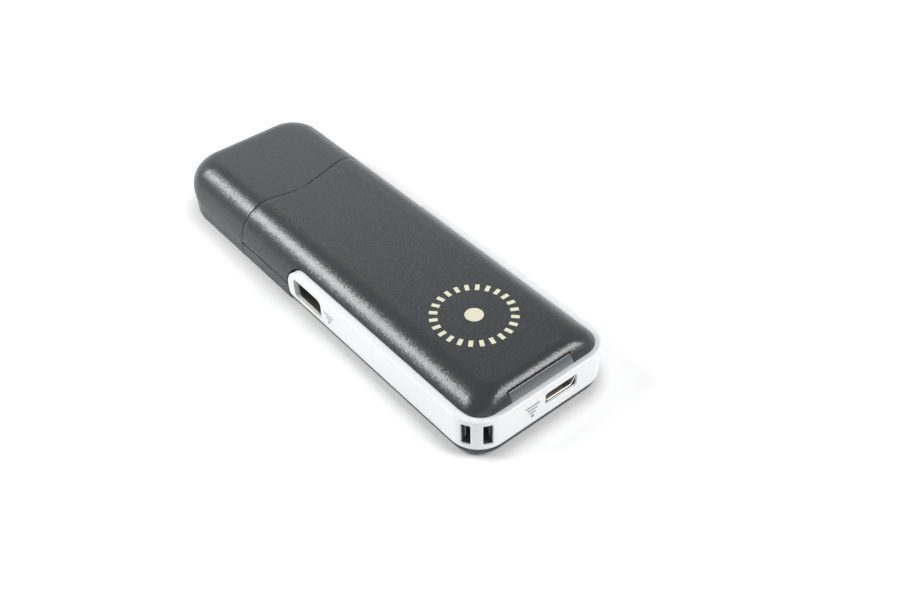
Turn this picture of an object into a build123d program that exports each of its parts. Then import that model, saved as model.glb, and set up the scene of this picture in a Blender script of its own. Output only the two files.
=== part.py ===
from build123d import *
import math
import os

# A stick computer lying flat, in millimetres. +Y runs to the video plug and its cap, -Y to the tail,
# -X is the side with the larger port, +Z is up. The origin is under the middle, on the table.

# Driving sizes of the body
LENGTH = 97.0
WIDTH = 32.0
HEIGHT = 12.0
SHOULDER_Z = 4.3          # height of the parting line, where the top starts to round over
SIDE_RUN = 7.1            # how far the top rounding comes in from the sides
TAIL_RUN = 4.4            # and from the tail
CAP_RUN = 7.1             # and from the cap's end
TAIL_CORNER = 6.0         # plan radius of the tail corners at the shoulder
TAIL_TOP_CORNER = 3.0     # and where the rounding meets the flat top
CAP_CORNER = 10.2
CAP_TOP_CORNER = 4.5
BOTTOM_ROUND = 1.7
ROUND_STEPS = 9           # sections from the shoulder to the flat top
TOP_WALL = 1.3
FLOOR_WALL = 1.3
GAP = 0.1                 # line between pieces that meet

# Side band
BAND_BOTTOM = 2.2
BAND_TOP = 9.0
BAND_WALL = 1.6
BAND_EDGE = 0.3
BAND_NOSE_Y = 6.2
NOSE_UPPER_ROUND = 4.3
NOSE_LOWER_ROUND = 1.0
NOSE_GAP_ROUND = 3.5      # the top cover's own radius there, which leaves a dark wedge
UNDER_BAND_INSET = 0.3    # how far the bottom cover stands back under the band
SKIRT_DEPTH = 1.0         # how far the top cover's skirt reaches down inside the band
SKIRT_END = 4.2           # in front of this the cover's wall is whole, behind the band's nose
LIP_HEIGHT = 0.4          # how far the bottom cover's lip reaches up inside the band
LIP_WALL = 1.0

# Strap post and the tunnel behind it, at the tail's left corner
STRAP_ANGLE = 46.7        # direction of the post, in degrees from -X towards -Y
POST_HALF_ANGLE = 10.2
TUNNEL_HALF_ANGLE = 26.7
TUNNEL_BOTTOM = 3.3
TUNNEL_TOP = 7.9
POST_DEPTH = 1.4
TUNNEL_DEPTH = 2.0
TUNNEL_BACK_WALL = 0.9
TUNNEL_END_ANGLE = 14.0   # solid corner past the tunnel, at each end

# Wavy seam between body and cap: across the body, and along it
SEAM_POINTS = [(-17.0, 22.9), (-9.0, 22.3), (-2.0, 21.2), (4.5, 22.6), (10.0, 23.9), (17.0, 24.2)]
SEAM_GAP = 0.12

# Collar that the cap grips, and the wall behind it
COLLAR_WIDTH = 25.0
COLLAR_HEIGHT = 7.8
COLLAR_ROUND = 3.6
COLLAR_Z = 5.9
COLLAR_FRONT = 29.5
COLLAR_WALL = 1.2
COLLAR_FACE = 1.8         # thickness of its front face
COLLAR_EDGE = 0.4
FLANGE_CLEARANCE = 0.15
FRONT_WALL_Y = 18.5       # back of the covers' solid front
FLANGE_THICK = 1.2
CAP_CLEARANCE = 0.15
CAP_WALL = 1.5

# Video plug: shell, insulator and 19 contacts in two rows
PLUG_WIDTH = 13.9
PLUG_HEIGHT = 4.45
PLUG_WALL = 0.3
PLUG_TIP = 41.5
PLUG_BACK = 13.0
PLUG_FLAT_WIDTH = 10.4    # width of the plug's lower flat
PLUG_SIDE_HEIGHT = 2.6    # height of its upright sides
PLUG_CORNER = 0.45
PLUG_SLOT = (10.6, 1.9, 8.5)      # room for the socket's tongue: width, height, depth
PLUG_FACE = 0.8           # how far the insulator stands back in the shell
PLUG_UPPER_CONTACTS = 10
PLUG_LOWER_CONTACTS = 9
PLUG_PITCH = 1.0
PLUG_CONTACT = (0.4, 0.2)         # width, thickness
PLUG_FEET_Y = (11.4, 12.2)        # feet of the upper and of the lower row

# Main board
BOARD_BOTTOM = 3.6
BOARD_THICK = 1.0
BOARD_TOP = BOARD_BOTTOM + BOARD_THICK
BOARD_HALF_WIDTH = 12.6
BOARD_TAIL = -46.4
BOARD_FRONT = 16.8
BOARD_CORNER = 3.6
BOARD_CLEARANCE = 0.3     # round the larger port, in its notch
STRAP_NOTCH = 1.5         # how far the notch reaches past the strap corner's middle
SOLDER = 0.02             # height of a solder film under a chip
CHIP_CHAMFER = 0.1
CHIP_LOW = BOARD_TOP + SOLDER

# Chips on the board's top: middle along X and Y, length along X and Y, height
PROCESSOR = (0.0, -22.0, 14.0, 14.0, 1.2)
FLASH_CHIP = (-2.0, 7.0, 9.0, 6.0, 0.9)
POWER_CHIP = (5.5, -37.0, 5.0, 5.0, 0.8)
WIRELESS_MODULE = (-6.4, -10.0, 11.0, 7.2, 1.5)
MODULE_SHIELD = (-6.4, -10.0, 12.0, 8.2, 2.1)
SHIELD_SHEET = 0.2
CHIP_ANTENNA = (8.8, -44.0, 3.2, 1.6, 1.1)
CLOCK_CRYSTAL = (6.5, 5.5, 3.2, 2.5, 0.8)
STATUS_LED = (-3.6, -45.8, 1.6, 0.9, 0.6)
COIL = (3.6, 3.6, 1.2)
COIL_PLACES = [(-9.7, -31.2 + 4.0 * i) for i in range(3)]
CAPACITOR = (1.0, 0.6, 0.5)
CAPACITOR_ROWS = [
    [(8.2, -31.5 + 1.5 * i) for i in range(6)],
    [(-3.0 + 1.6 * i, 1.4) for i in range(5)],
    [(-4.8 + 1.6 * i, -32.2) for i in range(7)],
]

# Memory chips on its underside, one each side of the middle
MEMORY_X = 5.5
MEMORY_CHIP = (8.0, 10.0, 0.9)

# Pad and heat sink on the processor
PAD_HALF = 6.5
PAD_THICK = 0.5
SINK_HALF_WIDTH = 9.0
SINK_ENDS = (-33.0, -15.0)
SINK_PLATE = 1.2
SINK_HEIGHT = 3.4
SINK_FINS = 9
SINK_FIN = 0.7

# Screws from below, through bosses and board into the top cover's posts
SCREW_PLACES = [(-11.0, 12.5), (11.0, 12.5), (-11.0, -36.0), (11.0, -36.0)]
SCREW_RADIUS = 0.8
SCREW_HEAD_RADIUS = 1.4
SCREW_HEAD_HEIGHT = 0.8
SCREW_RECESS = 0.2
SCREW_CROSS = (1.5, 0.3, 0.45)    # length, width and depth of its recess
SCREW_TIP = 8.0
SCREW_END_ROOM = 0.3      # past the tip, in the post
BOSS_RADIUS = 2.0
POST_RADIUS = 1.7
POST_SKIN = 0.4           # roof left over a post where the rounding comes down to it
HOLE_CLEARANCE = 0.1

# Micro port in the tail
MICRO_X = 3.3
MICRO_WIDTH = 7.5
MICRO_HEIGHT = 2.45
MICRO_DEPTH = 5.2
MICRO_MOUTH = (7.2, 2.65, 5.9)    # cut-out in the band: width, height, height of its middle
MICRO_MOUTH_ROUND = 0.5
MICRO_LIP = 0.45          # thickness of the band in front of the shell's pocket
MICRO_CORNER = 0.4
MICRO_SHEET = 0.3
MICRO_TAPER = 1.8         # how much narrower its floor is
MICRO_TONGUE = (3.8, 3.6, 0.6)    # width, depth, thickness
MICRO_BASE = (4.8, 1.2, 1.7)
MICRO_SETBACK = 0.8       # from the shell's mouth to the tongue
MICRO_CONTACT = (0.34, 2.9, 0.15)
MICRO_CONTACTS = 5
MICRO_PITCH = 0.65

# Larger port in the left side
MINI_Y = -0.5
MINI_Z = 5.0
MINI_WIDTH = 7.7
MINI_HEIGHT = 3.95
MINI_DEPTH = 8.0
MINI_MOUTH = (8.9, 4.5, 5.15)      # its opening in the band: width, height, middle
MINI_MOUTH_ROUND = 1.2
MINI_FACE = 0.5           # from the band's face to the shell's mouth
MINI_SHEET = 0.3
MINI_WAIST = 0.75         # how much its sides step in below
MINI_KNEES = (-0.3, -1.0)         # where they start and end to do so, from its middle
MINI_CORNER = 0.35
MINI_TONGUE = (4.4, 5.4, 0.9)
MINI_BASE = (5.4, 1.4, 3.0)
MINI_SETBACK = 1.2
MINI_CONTACT = (0.4, 5.0, 0.2)
MINI_FOOT = (2.0, 1.1, 0.3)       # its feet on the board: length, reach, thickness
MINI_CONTACTS = 5
MINI_PITCH = 0.8

# Memory card socket in the right side
CARD_Y = -8.0
CARD_WIDTH = 11.0
CARD_SLOT = (11.6, 1.5)
CARD_SLOT_ROUND = 0.5
SOCKET_WIDTH = 13.6
SOCKET_DEPTH = 14.0
SOCKET_HEIGHT = 1.6
SOCKET_SHEET = 0.2
SOCKET_FLOOR = 0.4
SOCKET_STOP = 1.0         # back stop for the card
CARD_CONTACT = (5.0, 0.6, 0.3)    # length, width, thickness
CARD_CONTACT_X = 4.3
CARD_CONTACTS = 8
CARD_PITCH = 1.1

# Power button and its switch in the right side
BUTTON_Y = -24.0
BUTTON_Z = 6.0
BUTTON_LENGTH = 4.8
BUTTON_HEIGHT = 2.2
BUTTON_RECESS = 0.05
BUTTON_TRAVEL = 0.25
BUTTON_CLEARANCE = 0.12
BUTTON_FLANGE = (6.0, 3.1, 0.6)   # length, height, thickness
BUTTON_EDGE = 0.25
STEM = (0.7, 0.6)         # radius, length
PLUNGER_RADIUS = 0.6
PLUNGER_CLEARANCE = 0.05
PLUNGER_HOLD = 1.0        # how deep the plunger sits in the switch
SWITCH_FRONT = 12.4
SWITCH_SIZE = (2.8, 4.2, 2.5)

# Light window over the tail port
WINDOW_HALF_WIDTH = 7.0
WINDOW_TOP = 10.8
WINDOW_BACK = -45.2
WINDOW_GAP = 0.06
GUIDE_WIDTH = 1.8
GUIDE_BACK = -46.4
GUIDE_FRONT = -45.2
GUIDE_FOOT = 5.35         # just over the lamp
GUIDE_TOP = 9.8           # inside the window, which it joins

# Mark let into the top: a ring of short ticks round a dot
MARK_Y = -29.8
MARK_RADIUS = 7.9
MARK_TICK = (1.5, 0.8)
MARK_TICKS = 24
MARK_DOT = 1.7
MARK_DEPTH = 0.3

# Sizes worked out from these
HALF_X = WIDTH / 2
HALF_Y = LENGTH / 2
ROUND_HEIGHT = HEIGHT - SHOULDER_Z
FAR = 2 * LENGTH          # long enough to cut right through
BAND_INNER_X = HALF_X - BAND_WALL
CORNER_X = -HALF_X + TAIL_CORNER
CORNER_Y = -HALF_Y + TAIL_CORNER
PORT_SETBACK = 0.05       # from the band's inner face to a port's mouth
PLUG_Z = CHIP_LOW + PLUG_HEIGHT / 2
MICRO_Z = CHIP_LOW + MICRO_HEIGHT / 2
MICRO_MOUTH_Y = -HALF_Y + MICRO_LIP + PORT_SETBACK
MINI_MOUTH_X = -HALF_X + MINI_FACE
SOCKET_BACK = BAND_INNER_X - GAP - SOCKET_DEPTH
CARD_SLOT_Z = CHIP_LOW + SOCKET_HEIGHT / 2 + SOCKET_SHEET
FLANGE_X = BAND_INNER_X - BUTTON_FLANGE[2]
SINK_LOW = CHIP_LOW + PROCESSOR[4] + PAD_THICK


# Plain shapes

def block(x_low, x_high, y_low, y_high, z_low, z_high):
    """Box between two corners."""
    size = Box(x_high - x_low, y_high - y_low, z_high - z_low)
    return Pos((x_low + x_high) / 2, (y_low + y_high) / 2, (z_low + z_high) / 2) * size


def post(x, y, radius, z_low, z_high):
    """Upright cylinder."""
    return Pos(x, y, (z_low + z_high) / 2) * Cylinder(radius, z_high - z_low)


def group(solids):
    """Separate solids kept in one node."""
    return Compound(children=list(solids))


def minus_all(body, solids):
    """Body with each solid cut out of it."""
    for solid in solids:
        body -= solid
    return body


def plan(half_x, y_low, y_high, tail_corner, cap_corner, z):
    """Rounded rectangle seen from above, with its own radius at each end."""
    face = Pos(0, (y_low + y_high) / 2) * Rectangle(2 * half_x, y_high - y_low)
    face = fillet(face.vertices().group_by(Axis.Y)[0], tail_corner)
    face = fillet(face.vertices().group_by(Axis.Y)[-1], cap_corner)
    return Pos(0, 0, z) * face


def outline(inset, z):
    """The body's own outline, drawn in by an inset."""
    tail_corner = max(TAIL_CORNER - inset, 1.0)
    cap_corner = max(CAP_CORNER - inset, 1.0)
    return plan(HALF_X - inset, -HALF_Y + inset, HALF_Y - inset, tail_corner, cap_corner, z)


def prism(inset, z_low, z_high):
    """Upright solid on that outline."""
    return extrude(outline(inset, z_low), z_high - z_low)


def bar_along_y(width, height, corner, z, y_low, y_high):
    """Rounded bar lying along Y."""
    section = Plane.XZ.offset(-y_low) * Pos(0, z) * RectangleRounded(width, height, corner)
    return extrude(section, -(y_high - y_low))


# The body's envelope

def round_section(turn, wall):
    """Outline of the top rounding at an angle, 0 at the shoulder and 90 at the flat top."""
    angle = math.radians(turn)
    reach = 1 - math.cos(angle)
    rise = math.sin(angle)
    tail_corner = TAIL_CORNER + (TAIL_TOP_CORNER - TAIL_CORNER) * rise - wall / 2
    cap_corner = CAP_CORNER + (CAP_TOP_CORNER - CAP_CORNER) * rise - wall / 2
    return plan(
        HALF_X - wall - SIDE_RUN * reach,
        -HALF_Y + wall + TAIL_RUN * reach,
        HALF_Y - wall - CAP_RUN * reach,
        tail_corner,
        cap_corner,
        SHOULDER_Z + (ROUND_HEIGHT - wall) * rise,
    )


def upper_envelope(wall=0.0):
    """Everything above the shoulder, drawn in by a wall."""
    step = 90 / ROUND_STEPS
    return loft([round_section(step * i, wall) for i in range(ROUND_STEPS + 1)])


def lower_envelope(inset=0.0):
    """Everything below the shoulder, with its rounded bottom edge."""
    solid = prism(inset, 0, SHOULDER_Z)
    edge = solid.faces().sort_by(Axis.Z)[0].edges()
    return fillet(edge, BOTTOM_ROUND)


def room_inside(wall):
    """The hollow of the body, above and below the shoulder."""
    low = prism(wall, FLOOR_WALL + wall - TOP_WALL, SHOULDER_Z)
    return low + upper_envelope(wall)


def beyond_seam(shift):
    """All the space in front of the wavy seam, which is moved along Y by a shift."""
    points = [(x, y + shift) for x, y in SEAM_POINTS]
    wave = Spline(*points)
    first = points[0]
    last = points[-1]
    rim = Polyline(last, (last[0], FAR), (first[0], FAR), first)
    face = make_face([wave.edge(), *rim.edges()])
    return extrude(Pos(0, 0, -1) * face, HEIGHT + 2)


# Side band

def band_profile(grow, upper_round=NOSE_UPPER_ROUND):
    """Side view of the band, with its rounded nose, drawn right across the body."""
    low = BAND_BOTTOM - grow
    high = BAND_TOP + grow
    nose = BAND_NOSE_Y + grow
    face = Plane.YZ * Pos((nose - FAR) / 2, (low + high) / 2) * Rectangle(nose + FAR, high - low)
    front = face.vertices().group_by(Axis.Y)[-1].sort_by(Axis.Z)
    face = fillet(front[-1], upper_round + grow)
    front = face.vertices().group_by(Axis.Y)[-1].sort_by(Axis.Z)
    face = fillet(front[0], NOSE_LOWER_ROUND + grow)
    return extrude(face, WIDTH, both=True)


def band_room(upper_round=NOSE_UPPER_ROUND):
    """Room for the band in the covers."""
    ring = prism(-GAP, 0, HEIGHT) - prism(BAND_WALL + GAP, 0, HEIGHT)
    return ring & band_profile(GAP, upper_round)


def corner_sector(half_angle, r_in, r_out, z_low, z_high):
    """Part of a ring round the tail's left corner, on both sides of the strap post's direction."""
    start = 180 + STRAP_ANGLE - half_angle
    outer = CenterArc((0, 0), r_out, start, 2 * half_angle)
    inner = CenterArc((0, 0), r_in, start, 2 * half_angle)
    sides = [Line(outer @ 0, inner @ 0), Line(outer @ 1, inner @ 1)]
    face = make_face([outer.edge(), inner.edge(), sides[0].edge(), sides[1].edge()])
    return Pos(CORNER_X, CORNER_Y, z_low) * extrude(face, z_high - z_low)


def strap_block(grow):
    """Solid of the thick corner that holds the strap tunnel."""
    r_in = TAIL_CORNER - POST_DEPTH - TUNNEL_DEPTH - TUNNEL_BACK_WALL - grow
    half_angle = TUNNEL_HALF_ANGLE + TUNNEL_END_ANGLE + math.degrees(grow / r_in)
    return corner_sector(
        half_angle, r_in, TAIL_CORNER - BAND_WALL / 2, BAND_BOTTOM - grow, BAND_TOP + grow
    )


def strap_tunnel():
    """The tunnel, with its two windows beside the post."""
    windows = corner_sector(
        TUNNEL_HALF_ANGLE, TAIL_CORNER - POST_DEPTH, TAIL_CORNER + 1, TUNNEL_BOTTOM, TUNNEL_TOP
    )
    windows -= corner_sector(
        POST_HALF_ANGLE, TAIL_CORNER - POST_DEPTH - 1, TAIL_CORNER + 2, TUNNEL_BOTTOM - 1, TUNNEL_TOP + 1
    )
    back = corner_sector(
        TUNNEL_HALF_ANGLE, TAIL_CORNER - POST_DEPTH - TUNNEL_DEPTH, TAIL_CORNER - POST_DEPTH,
        TUNNEL_BOTTOM, TUNNEL_TOP,
    )
    return windows + back


def mouth_in_tail(width, height, corner, x, z):
    """Cut through the tail wall."""
    section = Plane.XZ.offset(HALF_Y - 3) * Pos(x, z) * RectangleRounded(width, height, corner)
    return extrude(section, 6)


def mouth_in_side(side, width, height, corner, y, z):
    """Cut through a side wall: side is -1 for the left and 1 for the right."""
    section = Plane.YZ.offset(side * (HALF_X - 3)) * Pos(y, z) * RectangleRounded(width, height, corner)
    return extrude(section, side * 6)


def micro_pocket():
    """Pocket in the tail wall for the micro port's shell, behind a thin lip."""
    section = RectangleRounded(MICRO_WIDTH + 2 * GAP, MICRO_HEIGHT + 2 * GAP, MICRO_MOUTH_ROUND)
    face = Plane.XZ.offset(HALF_Y - MICRO_LIP) * Pos(MICRO_X, MICRO_Z) * section
    return extrude(face, -2 * BAND_WALL)


def side_band():
    """White band round the tail and both sides, with its ports, slot, button hole and strap post."""
    ring = prism(0, BAND_BOTTOM, BAND_TOP)
    ring = fillet(ring.faces().sort_by(Axis.Z)[-1].edges(), BAND_EDGE)
    ring -= prism(BAND_WALL, 0, HEIGHT)
    band = ring & band_profile(0)
    band += strap_block(0)
    band -= strap_tunnel()
    band -= mouth_in_tail(MICRO_MOUTH[0], MICRO_MOUTH[1], MICRO_MOUTH_ROUND, MICRO_X, MICRO_MOUTH[2])
    band -= micro_pocket()
    band -= mouth_in_side(-1, MINI_MOUTH[0], MINI_MOUTH[1], MINI_MOUTH_ROUND, MINI_Y, MINI_MOUTH[2])
    band -= mouth_in_side(1, CARD_SLOT[0], CARD_SLOT[1], CARD_SLOT_ROUND, CARD_Y, CARD_SLOT_Z)
    band -= mouth_in_side(
        1, BUTTON_LENGTH + 2 * BUTTON_CLEARANCE, BUTTON_HEIGHT + 2 * BUTTON_CLEARANCE,
        BUTTON_HEIGHT / 2, BUTTON_Y, BUTTON_Z,
    )
    return band


# Covers and cap

def collar_hole(grow, y_low, y_high):
    """Bar of the collar's section."""
    return bar_along_y(
        COLLAR_WIDTH + 2 * grow, COLLAR_HEIGHT + 2 * grow, COLLAR_ROUND + grow, COLLAR_Z, y_low, y_high
    )


def window_room(grow):
    """Room of the light window in the rounding over the tail port."""
    half = WINDOW_HALF_WIDTH + grow
    return block(-half, half, -HALF_Y - 1, WINDOW_BACK + grow, BAND_TOP + GAP - grow, WINDOW_TOP + grow)


def guide_room(grow):
    """Room of the leg that carries the lamp's light up to the window."""
    x_low = STATUS_LED[0] - GUIDE_WIDTH / 2 - grow
    x_high = STATUS_LED[0] + GUIDE_WIDTH / 2 + grow
    return block(x_low, x_high, GUIDE_BACK - grow, GUIDE_FRONT + grow, GUIDE_FOOT, GUIDE_TOP)


def mark_solids():
    """Ring of radial ticks round a dot, from the flat top down."""
    length, width = MARK_TICK
    solids = [post(0, MARK_Y, MARK_DOT, HEIGHT - MARK_DEPTH, HEIGHT)]
    for i in range(MARK_TICKS):
        tick = Pos(MARK_RADIUS - length / 2, 0, HEIGHT - MARK_DEPTH / 2) * Box(length, width, MARK_DEPTH)
        solids.append(Pos(0, MARK_Y, 0) * Rot(0, 0, 360 / MARK_TICKS * i) * tick)
    return solids


def top_cover():
    """Black upper shell, from the tail to the seam."""
    cover = upper_envelope()
    cover -= block(-HALF_X, HALF_X, -HALF_Y, HALF_Y, SHOULDER_Z - 1, SHOULDER_Z + GAP)
    cover -= upper_envelope(TOP_WALL) & block(-HALF_X, HALF_X, -HALF_Y, FRONT_WALL_Y, 0, HEIGHT)
    cover -= beyond_seam(-SEAM_GAP)
    cover -= collar_hole(GAP, FRONT_WALL_Y - 1, FAR)
    cover -= band_room(NOSE_GAP_ROUND)
    cover -= block(-HALF_X, HALF_X, -HALF_Y, SKIRT_END, 0, BAND_TOP - SKIRT_DEPTH)
    for x, y in SCREW_PLACES:
        pillar = post(x, y, POST_RADIUS, BOARD_TOP, HEIGHT - TOP_WALL)
        cover += pillar & upper_envelope(POST_SKIN)
        cover -= post(x, y, SCREW_RADIUS + SOLDER, 0, SCREW_TIP + SCREW_END_ROOM)
    cover -= strap_block(GAP)
    cover -= window_room(WINDOW_GAP)
    cover -= guide_room(WINDOW_GAP)
    return minus_all(cover, mark_solids())


def bottom_cover():
    """Black lower shell: flush with the top cover in front, tucked in under the band behind it."""
    front = lower_envelope() & block(-HALF_X, HALF_X, BAND_NOSE_Y, HALF_Y, 0, SHOULDER_Z)
    behind = lower_envelope(UNDER_BAND_INSET)
    behind &= block(-HALF_X, HALF_X, -HALF_Y, BAND_NOSE_Y, 0, BAND_BOTTOM + LIP_HEIGHT)
    cover = front + behind
    wide_room = prism(TOP_WALL, FLOOR_WALL, HEIGHT)
    narrow_room = prism(BAND_WALL + GAP + LIP_WALL, FLOOR_WALL, HEIGHT)
    cover -= wide_room & block(-HALF_X, HALF_X, BAND_NOSE_Y + 1, FRONT_WALL_Y, 0, HEIGHT)
    cover -= narrow_room & block(-HALF_X, HALF_X, -HALF_Y, BAND_NOSE_Y + 1, 0, HEIGHT)
    cover -= beyond_seam(-SEAM_GAP)
    cover -= collar_hole(GAP, FRONT_WALL_Y - 1, FAR)
    cover -= band_room()
    for x, y in SCREW_PLACES:
        cover += post(x, y, BOSS_RADIUS, FLOOR_WALL / 2, BOARD_BOTTOM)
    for x, y in SCREW_PLACES:
        cover -= post(x, y, SCREW_RADIUS + HOLE_CLEARANCE, -1, HEIGHT)
        cover -= post(x, y, SCREW_HEAD_RADIUS + HOLE_CLEARANCE, -1, SCREW_RECESS + SCREW_HEAD_HEIGHT)
    cover -= strap_block(GAP)
    return cover


def cap():
    """Black cap over the plug, cut to the wavy seam."""
    body = (lower_envelope() + upper_envelope()) & beyond_seam(0)
    room = collar_hole(CAP_CLEARANCE, 0, FAR) & room_inside(CAP_WALL)
    return body - room


def light_window():
    """Smoky light window over the tail port, with its light guide down to the lamp."""
    bar = upper_envelope() & window_room(0)
    return bar + guide_room(0)


# Collar and video plug

def plug_section(shrink):
    """Outline of the plug: upright sides above, slanted ones below."""
    half = PLUG_WIDTH / 2 - shrink
    flat = PLUG_FLAT_WIDTH / 2 - shrink / 2
    top = PLUG_HEIGHT / 2 - shrink
    knee = PLUG_HEIGHT / 2 - PLUG_SIDE_HEIGHT
    corners = [(-half, top), (half, top), (half, knee), (flat, -top), (-flat, -top), (-half, knee)]
    face = make_face(Polyline(*corners, close=True).edges())
    return fillet(face.vertices(), PLUG_CORNER - shrink / 2)


def plug_bar(shrink, y_low, y_high):
    """Bar of the plug's section."""
    face = Plane.XZ.offset(-y_low) * Pos(0, PLUG_Z) * plug_section(shrink)
    return extrude(face, -(y_high - y_low))


def plug_collar():
    """Neck that the cap grips, with a flange behind the covers' front wall."""
    neck = collar_hole(0, FRONT_WALL_Y - GAP, COLLAR_FRONT)
    neck = fillet(neck.faces().sort_by(Axis.Y)[-1].edges(), COLLAR_EDGE)
    flange = block(-HALF_X, HALF_X, FRONT_WALL_Y - GAP - FLANGE_THICK, FRONT_WALL_Y - GAP, 0, HEIGHT)
    flange &= room_inside(TOP_WALL + FLANGE_CLEARANCE)
    hollow = collar_hole(-COLLAR_WALL, 0, COLLAR_FRONT - COLLAR_FACE)
    return neck + flange - hollow - plug_bar(-GAP / 2, 0, FAR)


def plug_shell():
    """Steel shell of the plug."""
    return plug_bar(0, PLUG_BACK, PLUG_TIP) - plug_bar(PLUG_WALL, PLUG_BACK - 1, PLUG_TIP + 1)


def plug_contact_solids():
    """Two rows of gold strips along the slot's upper and lower walls, with feet down to the board."""
    width, thick = PLUG_CONTACT
    front = PLUG_TIP - PLUG_FACE - PLUG_CONTACT[0]
    rows = [(PLUG_UPPER_CONTACTS, 1, PLUG_FEET_Y[0]), (PLUG_LOWER_CONTACTS, -1, PLUG_FEET_Y[1])]
    solids = []
    for count, side, back in rows:
        z = PLUG_Z + side * (PLUG_SLOT[1] + thick) / 2
        for i in range(count):
            x = (i - (count - 1) / 2) * PLUG_PITCH
            left = x - width / 2
            right = x + width / 2
            strip = block(left, right, back, front, z - thick / 2, z + thick / 2)
            solids.append(strip + block(left, right, back, back + thick, CHIP_LOW, z))
    return solids


def plug_insulator():
    """Black insulator in the shell, with the slot for the socket's tongue."""
    width, height, depth = PLUG_SLOT
    body = plug_bar(PLUG_WALL + SOLDER / 2, PLUG_BACK, PLUG_TIP - PLUG_FACE)
    z_low = PLUG_Z - height / 2
    body -= block(-width / 2, width / 2, PLUG_TIP - depth, FAR, z_low, z_low + height)
    return minus_all(body, plug_contact_solids())


# Main board and what is on it

def main_board():
    """Circuit board, notched for the larger port and for the strap corner."""
    middle = (BOARD_TAIL + BOARD_FRONT) / 2
    size = (2 * BOARD_HALF_WIDTH, BOARD_FRONT - BOARD_TAIL)
    board = Pos(0, middle, BOARD_BOTTOM) * extrude(RectangleRounded(*size, BOARD_CORNER), BOARD_THICK)
    notch = MINI_WIDTH / 2 + BOARD_CLEARANCE
    notch_end = MINI_MOUTH_X + MINI_DEPTH + BOARD_CLEARANCE
    board -= block(-HALF_X, notch_end, MINI_Y - notch, MINI_Y + notch, 0, HEIGHT)
    board -= block(-HALF_X, CORNER_X + STRAP_NOTCH, -HALF_Y, CORNER_Y + STRAP_NOTCH, 0, HEIGHT)
    for x, y in SCREW_PLACES:
        board -= post(x, y, SCREW_RADIUS + HOLE_CLEARANCE, 0, HEIGHT)
    return board


def chip(x, y, length_x, length_y, height, under=False):
    """Chip body on the board's top, or on its underside, with a small chamfer on its outer face."""
    low = BOARD_BOTTOM - SOLDER - height if under else CHIP_LOW
    left, back = x - length_x / 2, y - length_y / 2
    body = block(left, left + length_x, back, back + length_y, low, low + height)
    outer = body.faces().sort_by(Axis.Z)[0 if under else -1]
    return chamfer(outer.edges(), CHIP_CHAMFER)


def memory_chips():
    """Two chips under the board, behind the processor."""
    y = PROCESSOR[1]
    return group([chip(side * MEMORY_X, y, *MEMORY_CHIP, under=True) for side in (-1, 1)])


def thermal_pad():
    """Soft pad between processor and heat sink."""
    x, y = PROCESSOR[:2]
    return block(x - PAD_HALF, x + PAD_HALF, y - PAD_HALF, y + PAD_HALF, SINK_LOW - PAD_THICK, SINK_LOW)


def heat_sink():
    """Finned aluminium plate on the pad, clear of the posts and of the socket."""
    sink = block(-SINK_HALF_WIDTH, SINK_HALF_WIDTH, *SINK_ENDS, SINK_LOW, SINK_LOW + SINK_PLATE)
    for i in range(SINK_FINS):
        x = (SINK_HALF_WIDTH - SINK_FIN / 2) * (2 * i / (SINK_FINS - 1) - 1)
        sink += block(x - SINK_FIN / 2, x + SINK_FIN / 2, *SINK_ENDS, SINK_LOW, SINK_LOW + SINK_HEIGHT)
    return sink


def power_coils():
    """Wound coils in square housings."""
    return group([chip(x, y, *COIL) for x, y in COIL_PLACES])


def capacitors():
    """Rows of small chip capacitors beside the processor and the ports."""
    return group([chip(x, y, *CAPACITOR) for row in CAPACITOR_ROWS for x, y in row])


def module_shield():
    """Pressed can over the wireless module."""
    x, y, length_x, length_y, height = MODULE_SHIELD
    half_x = length_x / 2 - SHIELD_SHEET
    half_y = length_y / 2 - SHIELD_SHEET
    room = block(x - half_x, x + half_x, y - half_y, y + half_y, 0, CHIP_LOW + height - SHIELD_SHEET)
    return chip(*MODULE_SHIELD) - room


# Ports

def tapered_section(width, taper, height, corner):
    """Face with upright upper sides and slanted lower ones."""
    top = width / 2
    low = top - taper / 2
    rise = height / 2
    right = [(top, rise), (top, 0), (low, -rise)]
    left = [(-x, z) for x, z in reversed(right)]
    face = make_face(Polyline(*right, *left, close=True).edges())
    return fillet(face.vertices(), corner)


def micro_bar(shrink, y_low, y_high):
    """Bar of the tail port's section, lying along Y."""
    section = tapered_section(
        MICRO_WIDTH - 2 * shrink, MICRO_TAPER - shrink / 2, MICRO_HEIGHT - 2 * shrink,
        MICRO_CORNER - shrink / 2,
    )
    return extrude(Plane.XZ.offset(-y_low) * Pos(MICRO_X, MICRO_Z) * section, -(y_high - y_low))


def micro_port_shell():
    """Steel shell of the tail port, closed at the back."""
    back = MICRO_MOUTH_Y + MICRO_DEPTH
    return micro_bar(0, MICRO_MOUTH_Y, back) - micro_bar(MICRO_SHEET, -HALF_Y, back - MICRO_SHEET)


def micro_port_tongue():
    """Tongue of the tail port, with its base at the back, grooved for the contacts."""
    width, depth, thick = MICRO_TONGUE
    base_width, base_depth, base_height = MICRO_BASE
    base_back = MICRO_MOUTH_Y + MICRO_DEPTH - MICRO_SHEET - GAP
    front = MICRO_MOUTH_Y + MICRO_SETBACK
    half = width / 2
    tongue = block(MICRO_X - half, MICRO_X + half, front, front + depth, MICRO_Z, MICRO_Z + thick)
    tongue += block(
        MICRO_X - base_width / 2, MICRO_X + base_width / 2, base_back - base_depth, base_back,
        MICRO_Z - base_height / 2, MICRO_Z + base_height / 2,
    )
    return minus_all(tongue, micro_contact_solids())


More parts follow.
